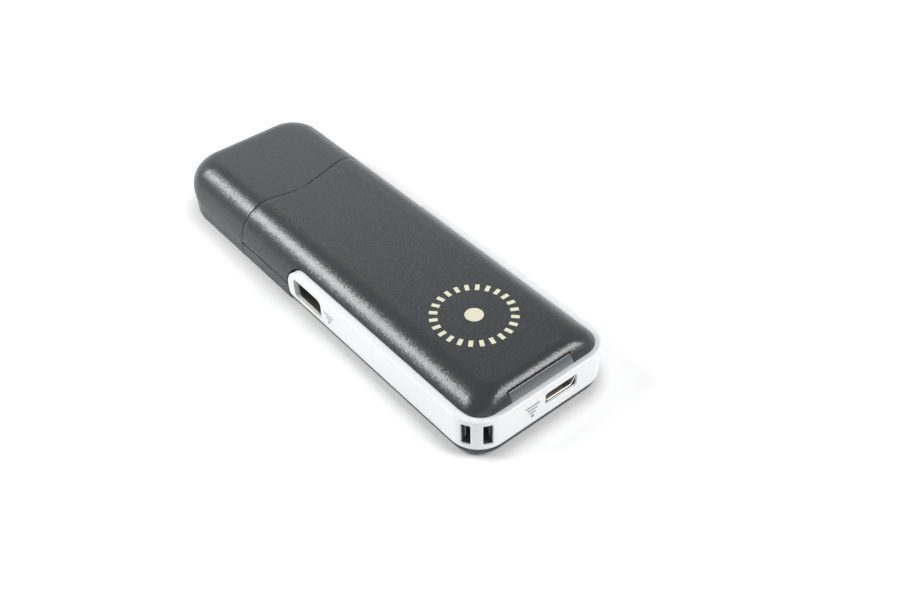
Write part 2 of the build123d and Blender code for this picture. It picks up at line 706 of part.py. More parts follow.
def micro_contact_solids():
    """Contacts under the tongue."""
    width, length, thick = MICRO_CONTACT
    front = MICRO_MOUTH_Y + MICRO_SETBACK + thick
    solids = []
    for i in range(MICRO_CONTACTS):
        x = MICRO_X + (i - (MICRO_CONTACTS - 1) / 2) * MICRO_PITCH
        left, right = x - width / 2, x + width / 2
        solids.append(block(left, right, front, front + length, MICRO_Z, MICRO_Z + thick))
    return solids


def mini_section(shrink):
    """Outline of the larger port: full width above, waisted below."""
    wide = MINI_WIDTH / 2 - shrink
    narrow = wide - MINI_WAIST
    top = MINI_HEIGHT / 2 - shrink
    right = [(wide, top), (wide, MINI_KNEES[0]), (narrow, MINI_KNEES[1]), (narrow, -top)]
    left = [(-x, z) for x, z in reversed(right)]
    face = make_face(Polyline(*right, *left, close=True).edges())
    return fillet(face.vertices(), MINI_CORNER - shrink / 2)


def mini_bar(shrink, x_low, x_high):
    """Bar of the larger port's section, lying along X."""
    face = Plane.YZ.offset(x_low) * Pos(MINI_Y, MINI_Z) * mini_section(shrink)
    return extrude(face, x_high - x_low)


def mini_port_shell():
    """Steel shell of the larger port, closed at the back, with a foot on the board at each side."""
    back = MINI_MOUTH_X + MINI_DEPTH
    length, reach, thick = MINI_FOOT
    half = MINI_WIDTH / 2 + reach
    left = MINI_MOUTH_X + length
    feet = block(left, left + length, MINI_Y - half, MINI_Y + half, CHIP_LOW, CHIP_LOW + thick)
    shell = mini_bar(0, MINI_MOUTH_X, back) + feet
    return shell - mini_bar(MINI_SHEET, -HALF_X, back - MINI_SHEET)


def mini_port_tongue():
    """Tongue of the larger port, with its base at the back, grooved for the contacts."""
    width, depth, thick = MINI_TONGUE
    base_width, base_depth, base_height = MINI_BASE
    base_back = MINI_MOUTH_X + MINI_DEPTH - MINI_SHEET - GAP
    front = MINI_MOUTH_X + MINI_SETBACK
    tongue = block(front, front + depth, MINI_Y - width / 2, MINI_Y + width / 2, MINI_Z, MINI_Z + thick)
    tongue += block(
        base_back - base_depth, base_back, MINI_Y - base_width / 2, MINI_Y + base_width / 2,
        MINI_Z - base_height / 2, MINI_Z + base_height / 2,
    )
    return minus_all(tongue, mini_contact_solids())


def mini_contact_solids():
    """Contacts under the tongue of the larger port."""
    width, length, thick = MINI_CONTACT
    front = MINI_MOUTH_X + MINI_SETBACK + thick
    solids = []
    for i in range(MINI_CONTACTS):
        y = MINI_Y + (i - (MINI_CONTACTS - 1) / 2) * MINI_PITCH
        solids.append(block(front, front + length, y - width / 2, y + width / 2, MINI_Z, MINI_Z + thick))
    return solids


# Card socket

def card_socket_cover():
    """Folded sheet over the socket."""
    half = SOCKET_WIDTH / 2
    inner = half - SOCKET_SHEET
    top = CHIP_LOW + SOCKET_HEIGHT
    cover = block(SOCKET_BACK, BAND_INNER_X - GAP, CARD_Y - half, CARD_Y + half, CHIP_LOW, top)
    return cover - block(0, HALF_X, CARD_Y - inner, CARD_Y + inner, 0, top - SOCKET_SHEET)


def card_socket_base():
    """Moulded base with side rails and a back stop for the card."""
    half = SOCKET_WIDTH / 2 - SOCKET_SHEET - SOLDER
    rail = CARD_WIDTH / 2 + GAP
    top = CHIP_LOW + SOCKET_HEIGHT - SOCKET_SHEET - SOLDER
    stop = SOCKET_BACK + SOCKET_STOP
    base = block(SOCKET_BACK, BAND_INNER_X - GAP, CARD_Y - half, CARD_Y + half, CHIP_LOW, top)
    base -= block(stop, HALF_X, CARD_Y - rail, CARD_Y + rail, CHIP_LOW + SOCKET_FLOOR, HEIGHT)
    return minus_all(base, card_contact_solids())


def card_contact_solids():
    """Contact springs let into the socket's floor, standing a little proud."""
    length, width, thick = CARD_CONTACT
    left = CARD_CONTACT_X - length / 2
    low = CHIP_LOW + SOCKET_FLOOR / 2
    solids = []
    for i in range(CARD_CONTACTS):
        y = CARD_Y + (i - (CARD_CONTACTS - 1) / 2) * CARD_PITCH
        solids.append(block(left, left + length, y - width / 2, y + width / 2, low, low + thick))
    return solids


# Power button and switch

def pill(length, height, x_low, x_high):
    """Rounded bar lying along X at the button's place."""
    face = Plane.YZ.offset(x_low) * Pos(BUTTON_Y, BUTTON_Z) * SlotOverall(length, height)
    return extrude(face, x_high - x_low)


def rod(radius, x_low, x_high):
    """Round rod lying along X at the button's place."""
    middle = Pos((x_low + x_high) / 2, BUTTON_Y, BUTTON_Z)
    return middle * Rot(0, 90, 0) * Cylinder(radius, x_high - x_low)


def power_button():
    """Button with its flange inside the band and a stem to the switch."""
    length, height, thick = BUTTON_FLANGE
    head = pill(BUTTON_LENGTH, BUTTON_HEIGHT, FLANGE_X, HALF_X - BUTTON_RECESS)
    head = fillet(head.faces().sort_by(Axis.X)[-1].edges(), BUTTON_EDGE)
    flange = pill(length, height, FLANGE_X, FLANGE_X + thick - SOLDER)
    return head + flange + rod(STEM[0], FLANGE_X - STEM[1], FLANGE_X + thick / 2)


def switch_plunger():
    """Plunger of the switch, touching the button's stem."""
    return rod(PLUNGER_RADIUS, SWITCH_FRONT - PLUNGER_HOLD, FLANGE_X - STEM[1] - SOLDER)


def switch_body():
    """Housing of the switch on the board, bored for its plunger and the plunger's travel."""
    size_x, size_y, size_z = SWITCH_SIZE
    back = SWITCH_FRONT - size_x
    half = size_y / 2
    body = block(back, SWITCH_FRONT, BUTTON_Y - half, BUTTON_Y + half, CHIP_LOW, CHIP_LOW + size_z)
    end = SWITCH_FRONT - PLUNGER_HOLD - BUTTON_TRAVEL - GAP
    return body - rod(PLUNGER_RADIUS + PLUNGER_CLEARANCE, end, HALF_X)


# Fasteners

def case_screws():
    """Four equal screws from below, through the board into the top cover's posts."""
    length, width, depth = SCREW_CROSS
    head_top = SCREW_RECESS + SCREW_HEAD_HEIGHT
    screws = []
    for x, y in SCREW_PLACES:
        head = post(x, y, SCREW_HEAD_RADIUS, SCREW_RECESS, head_top)
        screw = head + post(x, y, SCREW_RADIUS, head_top, SCREW_TIP)
        for arm_x, arm_y in ((length / 2, width / 2), (width / 2, length / 2)):
            screw -= block(x - arm_x, x + arm_x, y - arm_y, y + arm_y, 0, SCREW_RECESS + depth)
        screws.append(screw)
    return group(screws)


def make_parts():
    """Every piece under its node's name."""
    return {
        "top_cover": top_cover(),
        "bottom_cover": bottom_cover(),
        "side_band": side_band(),
        "cap": cap(),
        "light_window": light_window(),
        "top_mark": group(mark_solids()),
        "plug_collar": plug_collar(),
        "plug_shell": plug_shell(),
        "plug_insulator": plug_insulator(),
        "plug_contacts": group(plug_contact_solids()),
        "main_board": main_board(),
        "processor": chip(*PROCESSOR),
        "thermal_pad": thermal_pad(),
        "heat_sink": heat_sink(),
        "memory_chips": memory_chips(),
        "flash_chip": chip(*FLASH_CHIP),
        "power_chip": chip(*POWER_CHIP),
        "wireless_module": chip(*WIRELESS_MODULE),
        "module_shield": module_shield(),
        "chip_antenna": chip(*CHIP_ANTENNA),
        "clock_crystal": chip(*CLOCK_CRYSTAL),
        "power_coils": power_coils(),
        "capacitors": capacitors(),
        "status_led": chip(*STATUS_LED),
        "mini_port_shell": mini_port_shell(),
        "mini_port_tongue": mini_port_tongue(),
        "mini_port_contacts": group(mini_contact_solids()),
        "micro_port_shell": micro_port_shell(),
        "micro_port_tongue": micro_port_tongue(),
        "micro_port_contacts": group(micro_contact_solids()),
        "card_socket_base": card_socket_base(),
        "card_socket_cover": card_socket_cover(),
        "card_contacts": group(card_contact_solids()),
        "power_button": power_button(),
        "switch_body": switch_body(),
        "switch_plunger": switch_plunger(),
        "case_screws": case_screws(),
    }


if __name__ == "__main__":
    os.makedirs("parts", exist_ok=True)
    for node, shape in make_parts().items():
        export_step(shape, f"parts/{node}.step")
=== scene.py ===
"""Looks of a stick computer with a pull-off cap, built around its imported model.

Lengths are in millimetres until a mesh is made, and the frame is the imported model's own: +Y runs to
the cap, -Y to the tail, -X is the side with the larger port, +Z is up and the table is at zero.
"""

import logging
import math
from collections.abc import Callable, Iterable, Sequence
from dataclasses import dataclass
from enum import Enum
from functools import cache

import bmesh
import bpy
from bmesh.types import BMFace, BMVert
from bpy.types import Material, Mesh, Node, NodeOutputs, NodeSocket, NodeTree, Object
from mathutils import Matrix, Vector


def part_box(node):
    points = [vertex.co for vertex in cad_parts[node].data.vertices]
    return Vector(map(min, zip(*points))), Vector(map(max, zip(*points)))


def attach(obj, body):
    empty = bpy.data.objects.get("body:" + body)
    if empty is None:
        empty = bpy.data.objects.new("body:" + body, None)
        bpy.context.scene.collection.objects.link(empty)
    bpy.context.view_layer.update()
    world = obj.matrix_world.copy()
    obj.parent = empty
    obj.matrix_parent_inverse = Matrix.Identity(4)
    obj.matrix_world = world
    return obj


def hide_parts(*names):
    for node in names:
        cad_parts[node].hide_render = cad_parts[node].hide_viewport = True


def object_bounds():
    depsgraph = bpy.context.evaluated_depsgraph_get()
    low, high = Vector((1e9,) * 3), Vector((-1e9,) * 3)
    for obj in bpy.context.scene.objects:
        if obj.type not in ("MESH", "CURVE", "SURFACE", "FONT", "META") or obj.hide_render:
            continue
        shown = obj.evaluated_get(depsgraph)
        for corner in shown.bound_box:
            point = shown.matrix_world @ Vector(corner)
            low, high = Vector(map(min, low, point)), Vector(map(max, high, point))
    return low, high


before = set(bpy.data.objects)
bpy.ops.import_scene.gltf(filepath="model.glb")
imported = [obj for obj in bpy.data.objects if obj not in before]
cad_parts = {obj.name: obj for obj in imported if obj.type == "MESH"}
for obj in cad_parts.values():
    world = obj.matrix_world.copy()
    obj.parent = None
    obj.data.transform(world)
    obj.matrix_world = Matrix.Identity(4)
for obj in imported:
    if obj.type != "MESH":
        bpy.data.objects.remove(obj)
CAD_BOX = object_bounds()

LOG = logging.getLogger("stick")
Pair = tuple[float, float]
Triple = tuple[float, float, float]
# Middle along, middle up, width, height and corner radius.
Opening = tuple[float, float, float, float, float]
MM = 0.001
PHOTO_SIZE = (900, 600)
SHARP_ANGLE = math.radians(42.0)
# Vertices closer than this become one.
MERGE = 0.002
ROLL_STEPS = 3
# Corners stay at least this round, so that every inset has as many points.
LEAST_ROUND = 0.02
# Keeps the roll short where an open edge turns sharply.
LEAST_MITRE = 0.35
# Box in the middle of the case, from which the skins look away.
CORE = ((-8.0, -40.0, 6.0), (8.0, 38.0, 6.0))
# Insets of the rows that hold the shading of the flat top.
LID_INSETS = (0.35, 0.8)
UP, DOWN = Vector((0, 0, 1)), Vector((0, 0, -1))
FORWARDS, BACKWARDS = Vector((0, 1, 0)), Vector((0, -1, 0))
# Carry a drawing onto a face of the case, with its heights running out of it.
OUT_OF_TAIL = Matrix(((1, 0, 0, 0), (0, 0, -1, 0), (0, 1, 0, 0), (0, 0, 0, 1)))
OUT_OF_LEFT = Matrix(((0, 0, -1, 0), (-1, 0, 0, 0), (0, 1, 0, 0), (0, 0, 0, 1)))
OUT_OF_RIGHT = Matrix(((0, 0, 1, 0), (1, 0, 0, 0), (0, 1, 0, 0), (0, 0, 0, 1)))


class Body(Enum):
    """Bodies that pieces ride on."""

    STICK = "stick"
    CAP = "cap"
    BUTTON = "button"


def spread(first: float, last: float, count: int) -> list[float]:
    """Values from the first to the last in even steps, both ends included."""
    return [first + (last - first) * i / count for i in range(count + 1)]


def chain(*runs: Sequence[float]) -> list[float]:
    """Joins runs of values that share their ends.

    Args:
        runs: the runs, each starting where the last one ends.

    Returns:
        One run without repeats.
    """
    joined = list(runs[0])
    for run in runs[1:]:
        joined.extend(run[1:])
    return joined


def rounded_outline(
    corners: Sequence[Pair], radii: Sequence[float], inset: float = 0.0, steps: int = 6
) -> list[Vector]:
    """Outline of a polygon with rounded corners, drawn in by an inset.

    Args:
        corners: the polygon's corners, anticlockwise.
        radii: the rounding of each corner.
        inset: how far the outline moves inwards.
        steps: arc steps at each corner.

    Returns:
        Points in the plane, the same number for every inset.
    """
    points = []
    count = len(corners)
    for i, radius in enumerate(radii):
        before = Vector(corners[i - 1])
        here = Vector(corners[i])
        after = Vector(corners[(i + 1) % count])
        way_in = (here - before).normalized()
        way_out = (after - here).normalized()
        turn = math.atan2(way_in.cross(way_out), way_in.dot(way_out))
        bisector = (way_out - way_in).normalized()
        corner = here + bisector * (inset / math.cos(turn / 2))
        rounding = max(radius - inset, LEAST_ROUND)
        centre = corner + bisector * (rounding / math.cos(turn / 2))
        start = math.atan2(-way_in.x, way_in.y)
        for step in range(steps + 1):
            angle = start + turn * step / steps
            points.append(centre + Vector((math.cos(angle), math.sin(angle))) * rounding)
    return points


def rectangle(width: float, height: float) -> list[Pair]:
    """Corners of a centred rectangle, anticlockwise."""
    x, y = width / 2, height / 2
    return [(-x, -y), (x, -y), (x, y), (-x, y)]


def rounded_rectangle(
    width: float, height: float, rounding: float, steps: int
) -> Callable[[float], list[Vector]]:
    """Gives a centred, rounded rectangle's outline for an inset."""
    return lambda inset: rounded_outline(rectangle(width, height), [rounding] * 4, inset, steps)


def circle(radius: float, steps: int, middle: Pair = (0.0, 0.0), shift: float = 0.0) -> list[Vector]:
    """Points of a circle in the plane.

    Args:
        radius: its radius.
        steps: how many points.
        middle: its middle.
        shift: the share of a step by which the points are turned.

    Returns:
        The points.
    """
    x, y = middle
    turns = [math.tau * (i + shift) / steps for i in range(steps)]
    return [Vector((x + radius * math.cos(t), y + radius * math.sin(t))) for t in turns]


def standing(outline: Iterable[Vector], y: float, rise: float = 0.0) -> list[Vector]:
    """Stands a flat outline up across the case, at a place along it."""
    return [Vector((p.x, y, p.y + rise)) for p in outline]


class Sheet:
    """Open skin or closed solid under construction, in millimetres."""

    def __init__(self) -> None:
        """Starts empty."""
        self.mesh = bmesh.new()

    def points(self, places: Iterable[Vector]) -> list[BMVert]:
        """Adds a vertex at each place."""
        return [self.mesh.verts.new(place) for place in places]

    def face(self, corners: Iterable[BMVert]) -> None:
        """Adds one face, unless it has shrunk to a line.

        Args:
            corners: its vertices, in order.
        """
        kept = []
        for corner in corners:
            if not kept or (corner.co - kept[-1].co).length > MERGE:
                kept.append(corner)
        if len(kept) > 1 and (kept[0].co - kept[-1].co).length <= MERGE:
            kept.pop()
        if len(set(kept)) > 2:
            self.mesh.faces.new(kept)

    def bridge(self, low: Sequence, high: Sequence, closed: bool = False) -> None:
        """Joins two rows of as many vertices with four-sided faces.

        Args:
            low: the first row.
            high: the second row.
            closed: whether the last vertex joins the first.
        """
        count = len(low)
        for i in range(count if closed else count - 1):
            j = (i + 1) % count
            self.face([low[i], low[j], high[j], high[i]])

    def grid(
        self, rows: Sequence[Sequence[Vector]], closed: bool = False, flipped: bool = False
    ) -> list[list]:
        """Adds a patch of rows.

        Args:
            rows: rows of places, as many in each.
            closed: whether each row is a ring.
            flipped: whether its faces look the other way.

        Returns:
            The rows of vertices.
        """
        placed = [self.points(row) for row in rows]
        for low, high in zip(placed, placed[1:]):
            if flipped:
                low, high = high, low
            self.bridge(low, high, closed)
        return placed

    def fill(self, loops: Sequence[Sequence[Vector]], normal: Vector) -> None:
        """Fills a flat region that may have holes.

        Args:
            loops: the outer loop and the loops of its holes.
            normal: the way that the faces look.
        """
        edges = []
        for loop in loops:
            ring = self.points(loop)
            edges.extend(self.mesh.edges.new((ring[i - 1], ring[i])) for i in range(len(ring)))
        made = bmesh.ops.triangle_fill(
            self.mesh, use_beauty=True, use_dissolve=False, edges=edges, normal=normal)
        for item in made["geom"]:
            if isinstance(item, BMFace) and item.normal.dot(normal) < 0:
                item.normal_flip()

    def fill_to_seam(
        self, row: Sequence[Vector], seam_y: Callable[[float], float], steps: int, normal: Vector,
        holes: Sequence[Sequence[Vector]] = (),
    ) -> None:
        """Fills a flat top or underside between its row and the seam.

        Args:
            row: the row round it, which starts and ends at the seam.
            seam_y: gives the edge's place along the case for one across it.
            steps: steps along the seam.
            normal: the way that the faces look.
            holes: loops of the holes in it.
        """
        across = spread(row[-1].x, row[0].x, steps)[1:-1]
        self.fill([[*row, *(Vector((x, seam_y(x), row[0].z)) for x in across)], *holes], normal)

    def merge(self) -> None:
        """Joins vertices that share a place."""
        bmesh.ops.remove_doubles(self.mesh, verts=self.mesh.verts[:], dist=MERGE)

    def look_outwards(self) -> None:
        """Turns the faces of a skin away from the middle of the case."""
        self.mesh.normal_update()
        for face in self.mesh.faces:
            spot = face.calc_center_median()
            core = Vector([min(max(v, low), high) for v, low, high in zip(spot, *CORE)])
            if face.normal.dot(spot - core) < 0:
                face.normal_flip()
        self.mesh.normal_update()

    def rims(self) -> list[tuple[BMVert, BMVert]]:
        """Both ends of every open edge, in the order of its face."""
        return [
            (loop.vert, loop.link_loop_next.vert)
            for face in self.mesh.faces for loop in face.loops if len(loop.edge.link_faces) == 1
        ]

    def lead_away(self, rims: Sequence[tuple], rings: dict[BMVert, list]) -> None:
        """Joins the vertices that lead away from an open edge.

        Args:
            rims: both ends of each of its edges.
            rings: the vertices that follow each of its own.
        """
        for start, end in rims:
            last = (start, end)
            for pair in zip(rings[start], rings[end]):
                self.face([last[1], last[0], pair[0], pair[1]])
                last = pair

    def thicken(
        self, wall: float, roll_of: Callable[[Vector], float],
        lip_of: Callable[[Vector], float] | None = None,
    ) -> None:
        """Makes the open skin a closed wall whose edges roll over.

        Args:
            wall: the wall's thickness.
            roll_of: gives the roll's radius at a place on the edge.
            lip_of: gives the thickness at a place on the edge, where it isn't the wall's.
        """
        self.merge()
        self.look_outwards()
        mesh, outer, rims = self.mesh, list(self.mesh.faces), self.rims()
        borders: dict[BMVert, list[Vector]] = {}
        for start, end in rims:
            for vert in (start, end):
                away = (end.co - start.co).cross(vert.normal).normalized()
                borders.setdefault(vert, []).append(away)
        rings: dict[BMVert, list[BMVert]] = {}
        inner = {}
        for vert in list(mesh.verts):
            normal, spot = vert.normal.copy(), vert.co.copy()
            if vert not in borders:
                inner[vert] = mesh.verts.new(spot - normal * wall)
                continue
            roll = roll_of(spot)
            mean = sum(borders[vert], Vector()) / len(borders[vert])
            away = mean / max(mean.length_squared, LEAST_MITRE)
            rings[vert] = []
            for step in range(1, ROLL_STEPS + 1):
                angle = math.radians(90 * step / ROLL_STEPS)
                drop = normal * (roll * (1 - math.cos(angle)))
                rings[vert].append(mesh.verts.new(spot - drop + away * (roll * math.sin(angle))))
            depth = lip_of(spot) if lip_of else wall
            inner[vert] = mesh.verts.new(spot - normal * depth + away * roll)
            rings[vert].append(inner[vert])
        self.lead_away(rims, rings)
        for face in outer:
            self.face([inner[vert] for vert in reversed(face.verts)])

    def turned(self, matrix: Matrix) -> "Sheet":
        """Moves everything by a matrix."""
        bmesh.ops.transform(self.mesh, matrix=matrix, verts=self.mesh.verts[:])
        return self

    def take(self, other: "Sheet") -> None:
        """Adds another sheet's faces, and frees it.

        Args:
            other: the other sheet.
        """
        copied = {vert: self.mesh.verts.new(vert.co) for vert in other.mesh.verts}
        for face in other.mesh.faces:
            self.mesh.faces.new([copied[vert] for vert in face.verts])
        other.mesh.free()

    def piece(self, name: str, material: Material, closed: bool = True) -> Object:
        """Makes the finished object.

        Args:
            name: the object's name.
            material: its finish.
            closed: whether faces are turned to look outwards.

        Returns:
            The object, standing at the origin with its place in its mesh.
        """
        self.merge()
        if closed:
            bmesh.ops.recalc_face_normals(self.mesh, faces=self.mesh.faces[:])
        bmesh.ops.scale(self.mesh, vec=(MM, MM, MM), verts=self.mesh.verts[:])
        data = bpy.data.meshes.new(name)
        self.mesh.to_mesh(data)
        self.mesh.free()
        return finished(name, data, material)


def finished(name: str, data: Mesh, material: Material) -> Object:
    """Shades a mesh smoothly between its sharp edges and makes an object of it.

    Args:
        name: the object's name.
        data: its mesh, in metres.
        material: its finish.

    Returns:
        The object, linked to the scene.
    """
    data.materials.clear()
    data.materials.append(material)
    data.polygons.foreach_set("use_smooth", [True] * len(data.polygons))
    data.set_sharp_from_angle(angle=SHARP_ANGLE)
    made = bpy.data.objects.new(name, data)
    bpy.context.scene.collection.objects.link(made)
    weighted = made.modifiers.new("even_shading", "WEIGHTED_NORMAL")
    weighted.keep_sharp = True
    weighted.weight = 100
    return plain(made)


def plain(made: Object) -> Object:
    """Turns an object's evaluated result into its own plain mesh.

    Args:
        made: an object with modifiers.

    Returns:
        The same object, with no modifier left.
    """
    bpy.context.view_layer.update()
    evaluated = made.evaluated_get(bpy.context.evaluated_depsgraph_get())
    data = bpy.data.meshes.new_from_object(evaluated)
    made.modifiers.clear()
    made.data = data
    data.name = made.name
    return made


def place(made: Object, body: Body, slot: str, *nodes: str) -> Object:
    """Puts a piece on its body and hides the nodes that it stands for.

    Args:
        made: the piece.
        body: what it rides on.
        slot: a material slot's name; not used.
        nodes: the CAD nodes that it replaces.

    Returns:
        The piece.
    """
    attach(made, body.value)
    if nodes:
        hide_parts(*nodes)
    LOG.info("%s: %d faces on %s", made.name, len(made.data.polygons), body.value)
    return made


def lathe_along(
    outline: Callable[[float], list[Vector]], stations: Sequence[Pair], matrix: Matrix
) -> Sheet:
    """Closed solid made of rings of one outline.

    Args:
        outline: gives the outline's points for an inset.
        stations: inset and height of each ring, from the first end to the last.
        matrix: carries the outline's plane, with heights along its Z, to its place.

    Returns:
        The solid.
    """
    sheet = Sheet()
    rows = [[Vector((p.x, p.y, height)) for p in outline(inset)] for inset, height in stations]
    rings = sheet.grid(rows, closed=True)
    sheet.face(rings[0])
    sheet.face(rings[-1])
    return sheet.turned(matrix)


def roll_stations(inset: float, height: float, radius: float, outwards: bool = True) -> list[Pair]:
    """Stations of a quarter round that ends a wall.

    Args:
        inset: the wall's inset.
        height: the end's height.
        radius: the round's radius.
        outwards: True turns from the wall onto the end, False from the end onto an inner wall.

    Returns:
        Inset and height of each ring.
    """
    stations = []
    for step in range(ROLL_STEPS + 1):
        angle = math.radians(90 * step / ROLL_STEPS)
        near, far = radius * (1 - math.cos(angle)), radius * (1 - math.sin(angle))
        stations.append((inset + near, height - far) if outwards else (inset - far, height - near))
    return stations


@dataclass(frozen=True)
class Level:
    """One outline of the case, at one height."""

    half_x: float
    tail: float
    front: float
    tail_round: float
    front_round: float
    height: float


@dataclass(frozen=True)
class CaseForm:
    """The rounded outer form that the covers, the cap and the window share."""

    half_x: float = CAD_BOX[1][0] / MM
    half_y: float = CAD_BOX[1][1] / MM
    height: float = CAD_BOX[1][2] / MM
    shoulder: float = 4.3
    side_run: float = 7.1
    tail_run: float = 4.4
    cap_run: float = 7.1
    tail_corner: float = 6.0
    tail_top_corner: float = 3.0
    cap_corner: float = 10.2
    cap_top_corner: float = 4.5
    bottom_round: float = 1.7
    corner_steps: int = 16
    middle_steps: int = 14
    beside_steps: int = 3
    front_steps: int = 8
    foot_steps: int = 8

    @property
    def tail_middle(self) -> Pair:
        """Middle of the right tail corner's round."""
        return self.half_x - self.tail_corner, -self.half_y + self.tail_corner

    def level(self, height: float, inset: float = 0.0) -> Level:
        """Outline at a height.

        Args:
            height: above the table.
            inset: how far it is drawn in.

        Returns:
            The outline.
        """
        rise = min(max((height - self.shoulder) / (self.height - self.shoulder), 0.0), 1.0)
        reach = 1 - math.sqrt(1 - rise * rise)
        low = max(self.bottom_round - height, 0.0)
        inset += self.bottom_round - math.sqrt(max(self.bottom_round ** 2 - low ** 2, 0.0))
        return Level(
            self.half_x - inset - self.side_run * reach,
            -self.half_y + inset + self.tail_run * reach,
            self.half_y - inset - self.cap_run * reach,
            self.tail_corner + (self.tail_top_corner - self.tail_corner) * rise - inset,
            self.cap_corner + (self.cap_top_corner - self.cap_corner) * rise - inset,
            height,
        )

    def heights(self, low: float, high: float, steps: int) -> list[float]:
        """Heights on the rounding, closer together where it turns faster.

        Args:
            low: the lowest.
            high: the highest.
            steps: how many steps.

        Returns:
            The heights.
        """
        run = self.height - self.shoulder
        first = math.asin(min(max((low - self.shoulder) / run, 0.0), 1.0))
        last = math.asin(min((high - self.shoulder) / run, 1.0))
        values = [self.shoulder + run * math.sin(angle) for angle in spread(first, last, steps)]
        return [low, *values[1:-1], high]

    def foot_heights(self) -> list[float]:
        """Heights that follow the lower round."""
        turns = spread(0, 90, self.foot_steps)
        return [self.bottom_round * (1 - math.cos(math.radians(a))) for a in turns]

    def tail_way(
        self, level: Level, left_ys: Sequence[float], right_ys: Sequence[float], window: float
    ) -> list[Vector]:
        """Row of places from the left side round the tail to the right side.

        Args:
            level: the outline.
            left_ys: places along the left side, towards the tail.
            right_ys: the same for the right side.
            window: half the width of the middle stretch of the tail.

        Returns:
            The places.
        """
        x, y, r, z = level.half_x, level.tail, level.tail_round, level.height
        straight = x - r
        middle = min(window, straight * 0.8) if straight < window * 1.02 else window
        across = chain(
            spread(-straight, -middle, self.beside_steps), spread(-middle, middle, self.middle_steps),
            spread(middle, straight, self.beside_steps))
        row = [Vector((-x, side_y, z)) for side_y in left_ys]
        row += self.arc(-straight, y + r, r, 180, 270, z)
        row += [Vector((a, y, z)) for a in across[1:-1]]
        row += self.arc(straight, y + r, r, 270, 360, z)
        row += [Vector((x, side_y, z)) for side_y in reversed(right_ys)]
        return row

    def front_way(self, level: Level, left_y: float, right_y: float) -> list[Vector]:
        """Row of places from the left side round the cap's end to the right side.

        Args:
            level: the outline.
            left_y: where it starts on the left side.
            right_y: where it ends on the right side.

        Returns:
            The places.
        """
        x, y, r, z = level.half_x, level.front, level.front_round, level.height
        straight = x - r
        row = [Vector((-x, a, z)) for a in spread(left_y, y - r, self.front_steps)[:-1]]
        row += self.arc(-straight, y - r, r, 180, 90, z)
        row += [Vector((a, y, z)) for a in spread(-straight, straight, self.front_steps)[1:-1]]
        row += self.arc(straight, y - r, r, 90, 0, z)
        row += [Vector((x, a, z)) for a in spread(y - r, right_y, self.front_steps)[1:]]
        return row

    def arc(
        self, x: float, y: float, radius: float, first: float, last: float, height: float
    ) -> list[Vector]:
        """Places on a corner's round, from an angle to another in degrees."""
        turns = [math.radians(a) for a in spread(first, last, self.corner_steps)]
        return [Vector((x + radius * math.cos(t), y + radius * math.sin(t), height)) for t in turns]

    def arch(self, inset: float, low: float) -> list[Pair]:
        """Section across the case above a height, from the left foot over the top to the right foot.

        Args:
            inset: how far it is drawn in.
            low: the feet's height.

        Returns:
            Places across and up.
        """
        run = self.height - inset - self.shoulder
        left = []
        for angle in spread(math.asin(max(low - self.shoulder, 0) / run), math.pi / 2, 12):
            x = self.half_x - inset - self.side_run * (1 - math.cos(angle))
            left.append((-x, self.shoulder + run * math.sin(angle)))
        flat = [(x, self.height - inset) for x in spread(left[-1][0], -left[-1][0], 16)[1:-1]]
        return left + flat + [(-x, z) for x, z in reversed(left)]

    def trough(self, inset: float, high: float) -> list[Pair]:
        """Section below a height, from the left edge round the floor to the right edge.

        Args:
            inset: how far it is drawn in.
            high: the edges' height.

        Returns:
            Places across and up.
        """
        radius = self.bottom_round - inset / 2
        corner_x = self.half_x - inset - radius
        left = [(-self.half_x + inset, high)]
        for angle in spread(math.pi, 1.5 * math.pi, 5):
            z = inset + radius + radius * math.sin(angle)
            left.append((-corner_x + radius * math.cos(angle), z))
        flat = [(x, inset) for x in spread(-corner_x, corner_x, 20)[1:-1]]
        return left + flat + [(-x, z) for x, z in reversed(left)]


FORM = CaseForm()


@dataclass(frozen=True)
class Seam:
    """Wavy line between the body and the cap."""

    marks: tuple[Pair, ...] = (
        (-17.0, 22.9), (-9.0, 22.3), (-2.0, 21.2), (4.5, 22.6), (10.0, 23.9), (17.0, 24.2),
    )
    gap: float = 0.12
    roll: float = 0.13

    def at(self, x: float) -> float:
        """Place of the seam along the case.

        Args:
            x: place across the case.

        Returns:
            Its Y, on a smooth curve through the marks.
        """
        marks = self.marks
        i = 0
        while i < len(marks) - 2 and x > marks[i + 1][0]:
            i += 1
        (x0, y0), (x1, y1) = marks[i], marks[i + 1]
        width = x1 - x0
        t = (x - x0) / width
        slope0, slope1 = self.slope(i) * width, self.slope(i + 1) * width
        return (
            y0 * (1 + 2 * t) * (1 - t) ** 2 + slope0 * t * (1 - t) ** 2
            + y1 * t * t * (3 - 2 * t) + slope1 * t * t * (t - 1)
        )

    def slope(self, i: int) -> float:
        """Slope of the seam at a mark, from its neighbours."""
        low, high = max(i - 1, 0), min(i + 1, len(self.marks) - 1)
        return (self.marks[high][1] - self.marks[low][1]) / (self.marks[high][0] - self.marks[low][0])


SEAM = Seam()


